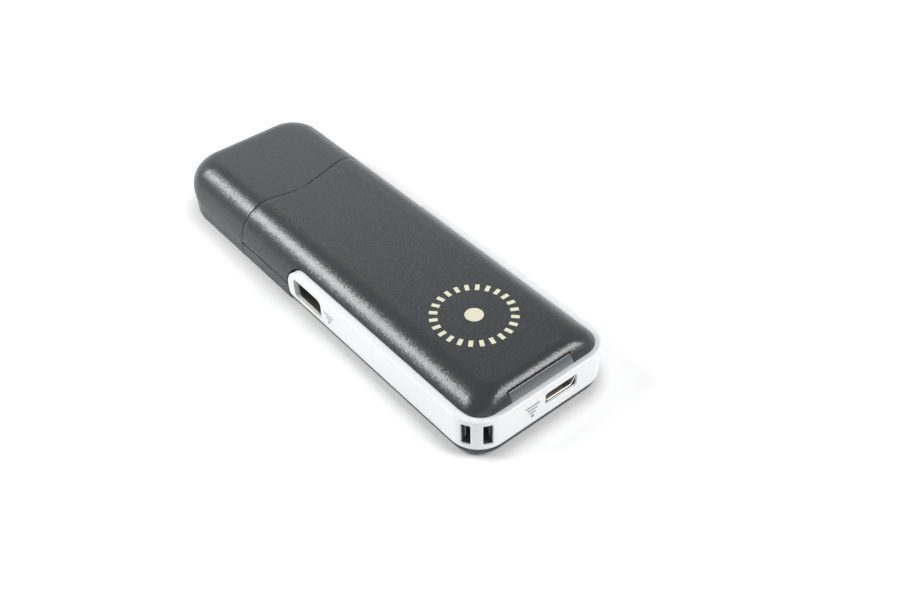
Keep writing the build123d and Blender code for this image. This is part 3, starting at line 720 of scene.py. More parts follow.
@dataclass(frozen=True)
class BandForm:
    """Outline of the white band, seen from the side."""

    low: float = 2.2
    high: float = 9.0
    wall: float = 1.6
    nose: float = 6.2
    upper_round: float = 4.3
    lower_round: float = 1.0
    gap: float = 0.1
    wedge_round: float = 3.5

    def nose_at(self, height: float, grow: float, upper_round: float) -> float:
        """Place of the nose's edge at a height.

        Args:
            height: above the table.
            grow: how far the outline stands outside the band.
            upper_round: the upper radius.

        Returns:
            Its Y.
        """
        up = height - (self.high - upper_round)
        down = (self.low + self.lower_round) - height
        if up > 0:
            radius = upper_round + grow
            return self.nose - upper_round + math.sqrt(max(radius ** 2 - up ** 2, 0.0))
        if down > 0:
            radius = self.lower_round + grow
            return self.nose - self.lower_round + math.sqrt(max(radius ** 2 - down ** 2, 0.0))
        return self.nose + grow

    def nose_heights(self, grow: float, low: float, high: float) -> list[float]:
        """Heights that follow the nose's upper round.

        Args:
            grow: how far the outline stands outside the band.
            low: where they start.
            high: where they end.

        Returns:
            The heights.
        """
        radius = self.wedge_round + grow
        middle = self.high - self.wedge_round
        turns = [middle + radius * math.sin(math.radians(a)) for a in spread(0, 90, 14)]
        return chain(spread(low, middle, 4), [*turns[:-1], high])


BAND = BandForm()


@dataclass
class Cover:
    """What the upper and the lower cover share."""

    wall: float = 1.2
    edge: float = 0.12
    parting: float = 4.6
    bay: Pair = (15.0, 7.5)
    tail_bay: float = -35.0
    nose_round: float = BAND.wedge_round
    tuck: float = 0.0
    tuck_gap: float = 0.1
    tuck_run: float = 0.6
    plate_back: float = 18.5
    plate_drop: float = 0.02
    plate_overlap: float = 0.6
    collar_gap: float = 0.1

    @property
    def off_band(self) -> float:
        """How far the skin stays off the band, before its edge rolls over."""
        return BAND.gap + self.edge

    def nose_ys(self, seam_y: float, nose_y: float) -> list[float]:
        """Places along a side, from the seam to the band's nose."""
        near, far = self.bay
        return chain(spread(seam_y, near, 6), spread(near, far, 4), spread(far, nose_y, 10))

    def side_ys(self, level: Level, side: int) -> list[float]:
        """Places along a side, from the seam to the tail's corner.

        Args:
            level: the outline.
            side: -1 for the left, 1 for the right.

        Returns:
            The places.
        """
        nose_y = BAND.nose - self.nose_round
        corner = level.tail + level.tail_round
        return chain(
            self.nose_ys(self.end_of(side * level.half_x), nose_y), spread(nose_y, self.tail_bay, 16),
            spread(self.tail_bay, corner, 5))[:-1]

    def end_of(self, x: float) -> float:
        """Where the skin stops short of the seam, before its edge rolls over."""
        return SEAM.at(x) - SEAM.gap - SEAM.roll

    def inset_at(self, y: float) -> float:
        """How far the cover stands back at a place along it."""
        share = min(max((BAND.nose + self.tuck_gap - y) / self.tuck_run, 0.0), 1.0)
        return self.tuck * share * share * (3 - 2 * share)

    def tucked(self, spot: Vector) -> Vector:
        """Moves a place of the outline in under the band.

        Args:
            spot: the place.

        Returns:
            The same place, or one further in.
        """
        inset = self.inset_at(spot.y)
        if inset == 0:
            return spot
        x, y = FORM.tail_middle
        away = spot - Vector((min(max(spot.x, -x), x), max(spot.y, y), spot.z))
        if away.length < MERGE:
            return spot
        return spot - away.normalized() * min(inset, away.length)

    def row(self, level: Level, window: float) -> list[Vector]:
        """Row of the skin round the tail, with its middle stretch as wide as the window."""
        ways = (self.side_ys(level, side) for side in (-1, 1))
        return [self.tucked(spot) for spot in FORM.tail_way(level, *ways, window)]

    def add_nose_patches(self, sheet: Sheet, heights: Sequence[float]) -> None:
        """Adds both sides in front of the band's nose.

        Args:
            sheet: the skin.
            heights: heights of the rows, from the lowest up.
        """
        for side in (-1, 1):
            rows = []
            for height in heights:
                x = side * FORM.level(height).half_x
                nose_y = BAND.nose_at(height, self.off_band, BAND.wedge_round)
                ys = self.nose_ys(self.end_of(x), nose_y)
                rows.append([self.tucked(Vector((x, y, height))) for y in ys])
            sheet.grid(rows[::-side], flipped=True)

    def add_front_plate(
        self, sheet: Sheet, section: Callable[[float, float], list], collar: "Collar"
    ) -> None:
        """Adds the wall behind the seam, with its half of the collar's hole.

        Args:
            sheet: the cover.
            section: gives the plate's outer edge for an inset and a height.
            collar: the collar that goes through it.
        """
        middle = Vector((0, self.parting))
        outer = [Vector(spot) for spot in section(self.wall * self.plate_overlap, self.parting)]
        rows = []
        for share in spread(0.0, 1.0, 4):
            spots = [p.lerp(collar.edge_from(middle, p, self.collar_gap), share) for p in outer]
            rows.append([Vector((p.x, SEAM.at(p.x) - SEAM.gap - self.plate_drop, p.y)) for p in spots])
        behind = [[Vector((p.x, self.plate_back, p.z)) for p in row] for row in reversed(rows)]
        plate = Sheet()
        placed = plate.grid([*rows, *behind])
        plate.bridge(placed[-1], placed[0])
        for end in (0, -1):
            plate.face([row[end] for row in placed])
        sheet.take(plate)


@dataclass
class Collar:
    """Neck that the cap grips, with its flange behind the covers."""

    width: float = 25.0
    height: float = 7.8
    rounding: float = 3.6
    middle: float = 5.9
    back: float = 17.3
    front: float = 29.5
    face: float = 1.8
    edge: float = 0.4
    wall: float = 1.2
    plug_gap: float = 0.05
    reach: float = 30.0
    halvings: int = 40

    def outline(self, inset: float) -> list[Vector]:
        """Section of the neck for an inset, each round drawn in with it."""
        section = rounded_rectangle(self.width, self.height, self.rounding, 10)
        return [Vector((p.x, p.y + self.middle)) for p in section(inset)]

    def edge_from(self, middle: Vector, towards: Vector, grow: float) -> Vector:
        """Where a ray from a point inside meets the neck's section.

        Args:
            middle: the point.
            towards: a point outside.
            grow: how much larger the section is.

        Returns:
            The place across and up.
        """
        way = (towards - middle).normalized()
        low, high = 0.0, self.reach
        for _ in range(self.halvings):
            half = (low + high) / 2
            if self.inside(middle + way * half, grow):
                low = half
            else:
                high = half
        return middle + way * low

    def inside(self, spot: Vector, grow: float) -> bool:
        """Whether a place is inside the grown section.

        Args:
            spot: the place, across and up.
            grow: how much larger the section is.

        Returns:
            True inside it.
        """
        radius = self.rounding + grow
        x = max(abs(spot.x) - (self.width / 2 + grow - radius), 0.0)
        z = max(abs(spot.y - self.middle) - (self.height / 2 + grow - radius), 0.0)
        return math.hypot(x, z) < radius

    def make(self, finish: Material, plug: "Plug") -> Object:
        """Builds the neck round the plug.

        Args:
            finish: its material.
            plug: the plug that goes through its face.

        Returns:
            The piece.
        """
        sheet = Sheet()
        stations = [(0.0, self.back), *roll_stations(0.0, self.front, self.edge)]
        rows = [standing(self.outline(inset), y) for inset, y in stations]
        sheet.grid(rows, closed=True)
        floor = self.front - self.face
        hole, behind = (
            standing(plug.outline(-self.plug_gap), y, plug.middle) for y in (self.front, floor))
        sheet.fill([rows[-1], hole], FORWARDS)
        sheet.grid([hole, behind], closed=True)
        room = [standing(self.outline(self.wall), y) for y in (floor, self.back)]
        sheet.fill([room[0], behind], BACKWARDS)
        sheet.grid(room, closed=True)
        sheet.fill([rows[0], room[1]], BACKWARDS)
        return sheet.piece("plug_collar_looks", finish)


@dataclass
class TopCover(Cover):
    """Black upper shell."""

    window_half: float = 7.06
    window_top: float = 10.86

    def make(self, finish: Material, collar: Collar) -> Object:
        """Builds the shell.

        Args:
            finish: its material.
            collar: the collar that goes through its front wall.

        Returns:
            The piece.
        """
        sheet = Sheet()
        rim = BAND.high + self.off_band
        notch = self.window_top + self.edge
        heights = chain(FORM.heights(rim, notch, 6), FORM.heights(notch, FORM.height, 12))
        rows = [self.row(FORM.level(height), self.window_half + self.edge) for height in heights]
        placed = [sheet.points(row) for row in rows]
        middle, half = len(rows[0]) // 2, FORM.middle_steps // 2
        for low, high, height in zip(placed, placed[1:], heights):
            for i in range(len(low) - 1):
                if height >= notch - MERGE or not middle - half <= i < middle + half:
                    sheet.face([low[i + 1], low[i], high[i], high[i + 1]])
        lids = [self.row(FORM.level(FORM.height, inset), self.window_half) for inset in LID_INSETS]
        for pair in zip([rows[-1], *lids], lids):
            sheet.grid(pair, flipped=True)
        sheet.fill_to_seam(lids[-1], self.end_of, 26, UP)
        low = self.parting + self.edge
        self.add_nose_patches(sheet, BAND.nose_heights(self.off_band, low, rim))
        sheet.thicken(self.wall, lambda spot: self.edge)
        self.add_front_plate(sheet, FORM.arch, collar)
        return sheet.piece("top_cover_looks", finish)


@dataclass
class BottomCover(Cover):
    """Black lower shell, tucked in under the band."""

    parting: float = 4.18
    tuck: float = 0.3
    nose_round: float = BAND.lower_round
    middle_half: float = 7.0
    floor_inset: float = 0.6
    screw_places: tuple[Pair, ...] = (
        (-11.0, 12.5), (11.0, 12.5), (-11.0, -36.0), (11.0, -36.0),
    )
    screw_hole: float = 1.5
    screw_edge: float = 0.08

    def make(self, finish: Material, collar: Collar) -> Object:
        """Builds the shell.

        Args:
            finish: its material.
            collar: the collar that goes through its front wall.

        Returns:
            The piece.
        """
        sheet = Sheet()
        rim = BAND.low - BAND.gap - self.edge
        levels = [FORM.level(height) for height in (*FORM.foot_heights(), rim)]
        rows = [self.row(level, self.middle_half) for level in levels]
        sheet.grid(rows, flipped=True)
        inner = self.row(FORM.level(0.0, self.floor_inset), self.middle_half)
        sheet.grid([rows[0], inner])
        radius = self.screw_hole + self.screw_edge
        holes = [[p.to_3d() for p in circle(radius, 32, spot)] for spot in self.screw_places]
        sheet.fill_to_seam(inner, self.end_of, 30, DOWN, holes)
        self.add_nose_patches(sheet, self.nose_heights(rim))
        sheet.thicken(self.wall, self.roll_at)
        self.add_front_plate(sheet, FORM.trough, collar)
        return sheet.piece("bottom_cover_looks", finish)

    def roll_at(self, spot: Vector) -> float:
        """Radius of the edge at a place: fine at the screws, fuller elsewhere."""
        return self.screw_edge if spot.z < MERGE else self.edge

    def nose_heights(self, rim: float) -> list[float]:
        """Heights of the rows below the parting line, which follow the nose's lower round.

        Args:
            rim: the height of the skin's edge under the band.

        Returns:
            The heights.
        """
        middle = BAND.low + BAND.lower_round
        radius = BAND.lower_round + self.off_band
        turns = [middle - radius * math.cos(math.radians(a)) for a in spread(0, 90, 8)]
        return chain([rim, *turns[1:]], spread(middle, self.parting - self.edge, 4))


@dataclass
class Cap:
    """Black cap over the plug."""

    clearance: float = 0.15
    mouth_roll: float = 0.25
    floor_inset: float = 0.5
    room: tuple[Pair, ...] = (
        (30.0, 0.0), (40.0, 0.0), (43.5, 0.5), (45.4, 1.5), (46.2, 2.6),
    )

    def make(self, finish: Material, collar: Collar) -> Object:
        """Builds the cap with its room for the plug.

        Args:
            finish: its material.
            collar: the neck that it grips.

        Returns:
            The piece.
        """
        sheet = Sheet()
        heights = chain(
            FORM.foot_heights(), spread(FORM.bottom_round, FORM.shoulder, 3),
            FORM.heights(FORM.shoulder, FORM.height, 20))
        levels = [FORM.level(0.0, self.floor_inset), *(FORM.level(height) for height in heights)]
        levels += [FORM.level(FORM.height, inset) for inset in LID_INSETS]
        rows = []
        for level in levels:
            left, right = (self.start_of(side * level.half_x) for side in (-1, 1))
            rows.append(FORM.front_way(level, left, right))
        sheet.grid(rows)
        sheet.fill_to_seam(rows[0], self.start_of, 26, DOWN)
        sheet.fill_to_seam(rows[-1], self.start_of, 26, UP)
        sheet.merge()
        sheet.look_outwards()
        self.add_mouth(sheet, collar)
        return sheet.piece("cap_looks", finish)

    def start_of(self, x: float) -> float:
        """Where the skin starts, in front of the rolled edge."""
        return SEAM.at(x) + SEAM.roll

    def way_in(self, vert: BMVert, collar: Collar) -> list[Vector]:
        """Places over the rolled edge, across the mouth's face and along the room.

        Args:
            vert: the skin's vertex that they start from.
            collar: the neck that sets the room's section.

        Returns:
            The places.
        """
        way = [
            vert.co - vert.normal * (SEAM.roll * (1 - math.cos(t)))
            + BACKWARDS * (SEAM.roll * math.sin(t))
            for t in spread(0, math.pi / 2, ROLL_STEPS)[1:]
        ]
        middle = Vector((0, collar.middle))
        outer = Vector((way[-1].x, way[-1].z))
        edge = collar.edge_from(middle, outer, self.clearance)
        inward = (middle - edge).normalized()
        for share in (0.3, 0.6):
            flat = outer.lerp(edge - inward * self.mouth_roll, share)
            way.append(Vector((flat.x, SEAM.at(flat.x), flat.y)))
        for t in spread(0, math.pi / 2, ROLL_STEPS):
            flat = edge - inward * (self.mouth_roll * (1 - math.sin(t)))
            deeper = self.mouth_roll * (1 - math.cos(t))
            way.append(Vector((flat.x, SEAM.at(flat.x) + deeper, flat.y)))
        return way + [standing([edge + inward * inset], depth)[0] for depth, inset in self.room]

    def add_mouth(self, sheet: Sheet, collar: Collar) -> None:
        """Adds the rolled edge at the seam, the mouth's face and the room behind it.

        Args:
            sheet: the outer skin, open at the seam.
            collar: the neck that sets the room's section.
        """
        sheet.mesh.normal_update()
        rims = sheet.rims()
        starts = [(vert, self.way_in(vert, collar)) for vert, _ in rims]
        rings = {vert: sheet.points(way) for vert, way in starts}
        sheet.lead_away(rims, rings)
        after = dict(rims)
        first = rims[0][0]
        loop, vert = [rings[first][-1]], after[first]
        while vert is not first:
            loop.append(rings[vert][-1])
            vert = after[vert]
        sheet.face(reversed(loop))


@dataclass
class SideBand:
    """White band with its ports, card slot, button hole and strap post."""

    edge: float = 0.28
    fine_edge: float = 0.14
    strap_angle: float = 46.7
    post_half: float = 10.2
    tunnel_half: float = 26.7
    tunnel_low: float = 3.3
    tunnel_high: float = 7.9
    side_port: Opening = (-0.5, 5.15, 8.9, 4.5, 1.2)
    tail_port: Opening = (3.3, 5.9, 7.2, 2.65, 0.5)
    card_slot: Opening = (-8.0, 5.62, 11.6, 1.5, 0.5)
    button: Opening = (-24.0, 6.0, 5.04, 2.44, 1.21)
    tail_lip: float = 0.45
    lip_reach: float = 0.3
    lip_depth: float = 0.1
    nose_slack: float = 0.01
    window_steps: int = 8
    post_steps: int = 10
    # Thin dark sheets inside the strap windows, which paint the shade in them.
    shade_sheet_wall: float = 0.06
    shade_sheet_radii: Pair = (4.45, 5.65)
    shade_sheet_middle: float = 5.0
    block_radii: tuple[float, ...] = (1.75, 2.6, 4.44)
    block_reach: float = 13.5
    block_drop: float = 0.02

    def hole(self, sizes: Opening, to_place: Callable) -> list[Vector]:
        """Loop of a rounded opening, larger by its rolled edge.

        Args:
            sizes: middle along, middle up, width, height and corner radius.
            to_place: turns a place along and up into a place on the wall.

        Returns:
            The loop.
        """
        along, up, width, height, rounding = sizes
        loop = rounded_rectangle(width, height, rounding, 8)(-self.fine_edge)
        return [to_place(p.x + along, p.y + up) for p in loop]

    def heights(self) -> list[float]:
        """Heights of the rows round the corners."""
        low, high = BAND.low + self.edge, BAND.high - self.edge
        sill, lintel = self.tunnel_low - self.fine_edge, self.tunnel_high + self.fine_edge
        return chain(spread(low, sill, 2), spread(sill, lintel, 6), spread(lintel, high, 2))

    def angles(self) -> list[float]:
        """Angles of the columns round the strap corner.

        Returns:
            The angles, in degrees from -X towards -Y.
        """
        grow = math.degrees(self.fine_edge / FORM.tail_corner)
        start = self.strap_angle - self.tunnel_half - grow
        end = self.strap_angle + self.tunnel_half + grow
        post_start = self.strap_angle - self.post_half + grow
        post_end = self.strap_angle + self.post_half - grow
        steps = self.window_steps
        return chain(
            spread(0, start, steps), spread(start, post_start, steps),
            spread(post_start, post_end, self.post_steps), spread(post_end, end, steps),
            spread(end, 90, steps))

    def corner_spot(self, radius: float, angle: float, height: float, side: int = -1) -> Vector:
        """Place on a round about a tail corner's middle, at an angle in degrees."""
        (x, y), turn = FORM.tail_middle, math.radians(angle)
        return Vector((side * (x + radius * math.cos(turn)), y - radius * math.sin(turn), height))

    def make(self, finish: Material) -> Object:
        """Builds the band.

        Args:
            finish: its material.

        Returns:
            The piece.
        """
        sheet = Sheet()
        heights = self.heights()
        self.add_corner(sheet, heights)
        self.add_side(sheet, -1, heights, [self.side_port])
        self.add_side(sheet, 1, heights, [self.card_slot, self.button])
        corner, back = FORM.tail_middle[0], -FORM.half_y
        outer = [Vector((-corner, back, z)) for z in reversed(heights)]
        outer += [Vector((x, back, heights[0])) for x in spread(-corner, corner, 12)[1:-1]]
        outer += [Vector((corner, back, z)) for z in heights]
        outer += [Vector((x, back, heights[-1])) for x in spread(corner, -corner, 12)[1:-1]]
        opening = self.hole(self.tail_port, lambda x, z: Vector((x, back, z)))
        sheet.fill([outer, opening], BACKWARDS)
        sheet.thicken(BAND.wall, self.roll_at, self.lip_at)
        return sheet.piece("side_band_looks", finish)

    def roll_at(self, spot: Vector) -> float:
        """Radius of the rolled edge: full on the outline, fine round the openings.

        Args:
            spot: a place on the edge.

        Returns:
            The radius.
        """
        nose = BAND.nose_at(spot.z, -self.edge, BAND.upper_round)
        outline = (
            abs(spot.z - BAND.low - self.edge) < MERGE or abs(spot.z - BAND.high + self.edge) < MERGE
            or abs(spot.y - nose) < self.nose_slack)
        return self.edge if outline else self.fine_edge

    def lip_at(self, spot: Vector) -> float:
        """Thickness at the edge: thin round the tail port, whose shell stands in a pocket behind it.

        Args:
            spot: a place on the edge.

        Returns:
            The thickness.
        """
        x, z, width, height, _ = self.tail_port
        near = (
            abs(spot.x - x) < width / 2 + self.lip_reach
            and abs(spot.z - z) < height / 2 + self.lip_reach
            and spot.y < -FORM.half_y + self.lip_depth)
        return self.tail_lip if near else BAND.wall

    def add_corner(self, sheet: Sheet, heights: Sequence[float]) -> None:
        """Adds both tail corners, the left one with the windows beside the strap post.

        Args:
            sheet: the skin.
            heights: heights of its rows.
        """
        low = self.tunnel_low - self.fine_edge
        high = self.tunnel_high + self.fine_edge
        first, second = self.window_steps, 2 * self.window_steps + self.post_steps
        for side in (-1, 1):
            columns = []
            for angle in self.angles():
                spots = [self.corner_spot(FORM.tail_corner, angle, z, side) for z in heights]
                columns.append(sheet.points(spots))
            for i, (left, right) in enumerate(zip(columns, columns[1:])):
                beside = any(start <= i < start + self.window_steps for start in (first, second))
                for j in range(len(heights) - 1):
                    middle = (heights[j] + heights[j + 1]) / 2
                    if side < 0 and beside and low < middle < high:
                        continue
                    corners = [left[j], right[j], right[j + 1], left[j + 1]]
                    sheet.face(corners if side < 0 else reversed(corners))

    def add_side(
        self, sheet: Sheet, side: int, heights: Sequence[float], openings: Sequence[tuple]
    ) -> None:
        """Adds a flat side up to the nose.

        Args:
            sheet: the skin.
            side: -1 for the left, 1 for the right.
            heights: heights shared with the corner.
            openings: the openings in it.
        """
        x, corner = side * FORM.half_x, FORM.tail_middle[1]
        lower, upper = BAND.lower_round - self.edge, BAND.upper_round - self.edge
        middle = BAND.low + BAND.lower_round
        zs = [middle - lower * math.cos(math.radians(a)) for a in spread(0, 90, 8)]
        middle = BAND.high - BAND.upper_round
        zs += [middle + upper * math.sin(math.radians(a)) for a in spread(0, 90, 18)]
        ys = [BAND.nose_at(z, -self.edge, BAND.upper_round) for z in zs]
        outer = [Vector((x, corner, z)) for z in reversed(heights)]
        outer += [Vector((x, y, heights[0])) for y in spread(corner, ys[0], 24)[1:-1]]
        outer += [Vector((x, y, z)) for y, z in zip(ys, zs)]
        outer += [Vector((x, y, heights[-1])) for y in spread(ys[-1], corner, 24)[1:-1]]
        holes = [self.hole(sizes, lambda y, z: Vector((x, y, z))) for sizes in openings]
        sheet.fill([outer, *holes], Vector((side, 0, 0)))

    def tunnel(self) -> Sheet:
        """Walls of the tunnel behind the strap post.

        Returns:
            The closed block.
        """
        half, ends, bends = self.tunnel_half, 3, 20
        reach = half + self.block_reach
        angles = chain(
            spread(-reach, -half, ends), spread(-half, half, bends), spread(half, reach, ends))
        heights = [
            BAND.low + self.block_drop, self.tunnel_low, self.tunnel_high, BAND.high - self.block_drop]
        kept = {
            (i, j, k) for i in range(len(angles) - 1) for j in range(2) for k in range(3)
            if not (ends <= i < ends + bends and j == 1 and k == 1)
        }
        sheet = Sheet()
        made = {}

        def vert(i: int, j: int, k: int) -> BMVert:
            """Vertex of the block's lattice."""
            if (i, j, k) not in made:
                angle = self.strap_angle + angles[i]
                spot = self.corner_spot(self.block_radii[j], angle, heights[k])
                made[(i, j, k)] = sheet.mesh.verts.new(spot)
            return made[(i, j, k)]

        along, across, up = (1, 0, 0), (0, 1, 0), (0, 0, 1)
        for cell in kept:
            for out, first, second in ((along, across, up), (across, up, along), (up, along, across)):
                for sign in (-1, 1):
                    if tuple(c + sign * o for c, o in zip(cell, out)) in kept:
                        continue
                    base = tuple(c + (o if sign > 0 else 0) for c, o in zip(cell, out))
                    steps = ((), (first,), (first, second), (second,))
                    corners = [tuple(map(sum, zip(base, *step))) for step in steps]
                    sheet.face([vert(*corner) for corner in corners[::sign]])
        self.add_shade_sheets(sheet)
        return sheet

    def add_shade_sheets(self, sheet: Sheet) -> None:
        """Adds a dark sheet inside both windows, which stops short of the band's face; the sheets paint
        the shade inside the windows.

        Args:
            sheet: the tunnel's block.
        """
        half = (self.tunnel_half - self.post_half) / 2
        (near, far), wall = self.shade_sheet_radii, self.shade_sheet_wall
        for sign in (-1, 1):
            middle = self.strap_angle + sign * (self.tunnel_half + self.post_half) / 2
            rows = []
            for inset, radius in ((0.0, near), (0.0, far), (wall, far), (wall, near)):
                across = math.degrees(inset / self.shade_sheet_middle)
                sides = spread(middle - half + across, middle + half - across, 6)
                ring = [(a, self.tunnel_low + inset) for a in sides]
                ring += [(a, self.tunnel_high - inset) for a in reversed(sides)]
                rows.append([self.corner_spot(radius, a, z) for a, z in ring])
            placed = sheet.grid(rows, closed=True)
            sheet.bridge(placed[-1], placed[0], closed=True)


@dataclass
class LightWindow:
    """Smoky window over the tail port."""

    half: float = 7.0
    low: float = 9.1
    high: float = 10.8
    edge: float = 0.1
    wall: float = 1.4
    guide: Triple = (1.8, 1.2, 0.2)
    guide_place: Triple = (-3.6, -45.8, 0.0)
    guide_edge: float = 0.15
    overlap: float = 0.6

    def make(self, finish: Material) -> Object:
        """Builds the window on the case's own rounding, with its light guide.

        Args:
            finish: its material.

        Returns:
            The piece.
        """
        sheet = Sheet()
        heights = FORM.heights(self.low + self.edge, self.high - self.edge, 8)
        xs = spread(-self.half + self.edge, self.half - self.edge, 20)
        sheet.grid([[Vector((x, FORM.level(z).tail, z)) for x in xs] for z in heights])
        sheet.thicken(self.wall, lambda spot: self.edge)
        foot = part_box("light_window")[0].z / MM
        edge = self.guide_edge
        stations = [(edge, foot), (0.0, foot + edge), (0.0, self.low + self.overlap)]
        section = rounded_rectangle(*self.guide, 3)
        sheet.take(lathe_along(section, stations, Matrix.Translation(self.guide_place)))
        return sheet.piece("light_window_looks", finish)


@dataclass
class Plug:
    """Video plug: shell, insulator and grip dimples."""

    width: float = 13.9
    height: float = 4.45
    flat: float = 10.4
    side: float = 2.6
    wall: float = 0.3
    back: float = 13.0
    tip: float = 41.5
    face: float = 0.8
    edge: float = 0.12
    inner_gap: float = 0.02
    slot: Triple = (10.6, 1.9, 8.5)
    middle: float = 6.845
    dimple: Triple = (1.6, 3.4, 0.7)
    dimple_x: float = 3.2
    dimple_y: float = 35.5

    def outline(self, inset: float) -> list[Vector]:
        """Section for an inset: upright sides above, slanted ones below.

        Args:
            inset: how far it is drawn in.

        Returns:
            Its points.
        """
        half, low, top = self.width / 2, self.flat / 2, self.height / 2
        knee = top - self.side
        corners = [(-low, -top), (low, -top), (half, knee), (half, top), (-half, top), (-half, knee)]
        return rounded_outline(corners, [0.5, 0.5, 0.6, 0.5, 0.5, 0.6], inset, 5)

    def section(self, inset: float, y: float) -> list[Vector]:
        """Section for an inset, standing at a place along the case."""
        return standing(self.outline(inset), y, self.middle)

    def make_shell(self, finish: Material) -> Object:
        """Builds the steel shell, open at both ends, with two pressed grip dimples on its top.

        Args:
            finish: its material.

        Returns:
            The piece.
        """
        sheet = Sheet()
        stations = [(0.0, self.back), *roll_stations(0.0, self.tip, self.edge)]
        stations += [*roll_stations(self.wall, self.tip, self.edge, False), (self.wall, self.back)]
        placed = sheet.grid([self.section(*station) for station in stations], closed=True)
        sheet.bridge(placed[-1], placed[0], closed=True)
        pressed = [(0.0, -0.05), (0.02, 0.0), (0.25, 0.07), (0.5, 0.1)]
        for x in (-self.dimple_x, self.dimple_x):
            there = Matrix.Translation((x, self.dimple_y, self.middle + self.height / 2))
            sheet.take(lathe_along(rounded_rectangle(*self.dimple, 5), pressed, there))
        return sheet.piece("plug_shell_looks", finish)

    def make_insulator(self, finish: Material) -> Object:
        """Builds the insulator with the slot for the socket's tongue.

        Args:
            finish: its material.

        Returns:
            The piece.
        """
        sheet = Sheet()
        front = self.tip - self.face
        outer = [self.section(self.wall + self.inner_gap, y) for y in (self.back, front)]
        width, height, depth = self.slot
        mouth = rounded_rectangle(width, height, 0.15, 3)(0.0)
        slot = [standing(mouth, y, self.middle) for y in (front, self.tip - depth)]
        sheet.grid(outer, closed=True)
        sheet.fill([outer[1], slot[0]], FORWARDS)
        sheet.grid(slot, closed=True)
        sheet.fill([slot[1]], FORWARDS)
        sheet.fill([outer[0]], BACKWARDS)
        return sheet.piece("plug_insulator_looks", finish)


@dataclass
class Port:
    """What both ports' shells share: a thin cup, open at its mouth and closed at its back."""

    name: str
    way: Matrix
    middle: Triple
    width: float
    height: float
    depth: float
    wall: float = 0.3

    def outline(self, inset: float) -> list[Vector]:
        """Section for an inset."""
        raise NotImplementedError

    def make_shell(self, finish: Material) -> Object:
        """Builds the shell with its rolled mouth.

        Args:
            finish: its material.

        Returns:
            The piece.
        """
        edge = self.wall * 0.4
        stations = [(0.0, 0.0), *roll_stations(0.0, self.depth, edge)]
        stations += [*roll_stations(self.wall, self.depth, edge, False), (self.wall, self.wall)]
        matrix = Matrix.Translation(self.middle) @ self.way
        return lathe_along(self.outline, stations, matrix).piece(self.name, finish)


@dataclass
class TailPort(Port):
    """Micro port in the tail, whose middle is that of its closed back."""

    name: str = "micro_port_shell_looks"
    way: Matrix = OUT_OF_TAIL
    middle: Triple = (3.3, -42.8, 5.845)
    width: float = 7.5
    height: float = 2.45
    depth: float = 5.2
    taper: float = 1.8

    def outline(self, inset: float) -> list[Vector]:
        """Section for an inset: upright upper sides, slanted lower ones.

        Args:
            inset: how far it is drawn in.

        Returns:
            Its points.
        """
        top, rise = self.width / 2, self.height / 2
        low = top - self.taper / 2
        corners = [(-low, -rise), (low, -rise), (top, 0.0), (top, rise), (-top, rise), (-top, 0.0)]
        return rounded_outline(corners, [0.4] * 6, inset, 5)


@dataclass
class SidePort(Port):
    """Larger port in the left side, whose middle is that of its closed back."""

    name: str = "mini_port_shell_looks"
    way: Matrix = OUT_OF_LEFT
    middle: Triple = (-7.5, -0.5, 5.0)
    width: float = 7.7
    height: float = 3.95
    depth: float = 8.0
    waist: float = 0.75
    waist_low: float = -1.0
    waist_high: float = -0.3

    def outline(self, inset: float) -> list[Vector]:
        """Section for an inset: full width above, waisted below.

        Args:
            inset: how far it is drawn in.

        Returns:
            Its points.
        """
        wide, top = self.width / 2, self.height / 2
        narrow = wide - self.waist
        right = [(narrow, -top), (narrow, self.waist_low), (wide, self.waist_high), (wide, top)]
        corners = [(-narrow, -top), *right, *((-x, z) for x, z in reversed(right[1:]))]
        return rounded_outline(corners, [0.35] * 8, inset, 4)


# Nodes

def feed(node: Node, inputs: dict) -> Node:
    """Links or sets a node's inputs.

    Args:
        node: the node.
        inputs: for each input's name or number, the socket to link or the value to set.

    Returns:
        The node.
    """
    for key, value in inputs.items():
        if isinstance(value, NodeSocket):
            node.id_data.links.new(value, node.inputs[key])
        else:
            node.inputs[key].default_value = value
    return node


def add_node(tree: NodeTree, kind: str, inputs: dict, **settings: str) -> Node:
    """Adds a node to a tree.

    Args:
        tree: the tree.
        kind: the node's type.
        inputs: sockets and values for its inputs.
        settings: its own settings.

    Returns:
        The node.
    """
    node = tree.nodes.new(kind)
    for name, value in settings.items():
        setattr(node, name, value)
    return feed(node, inputs)


class Pattern(Enum):
    """Ways in which a unit is repeated."""

    RING = "ring"
    CORNERS = "corners"


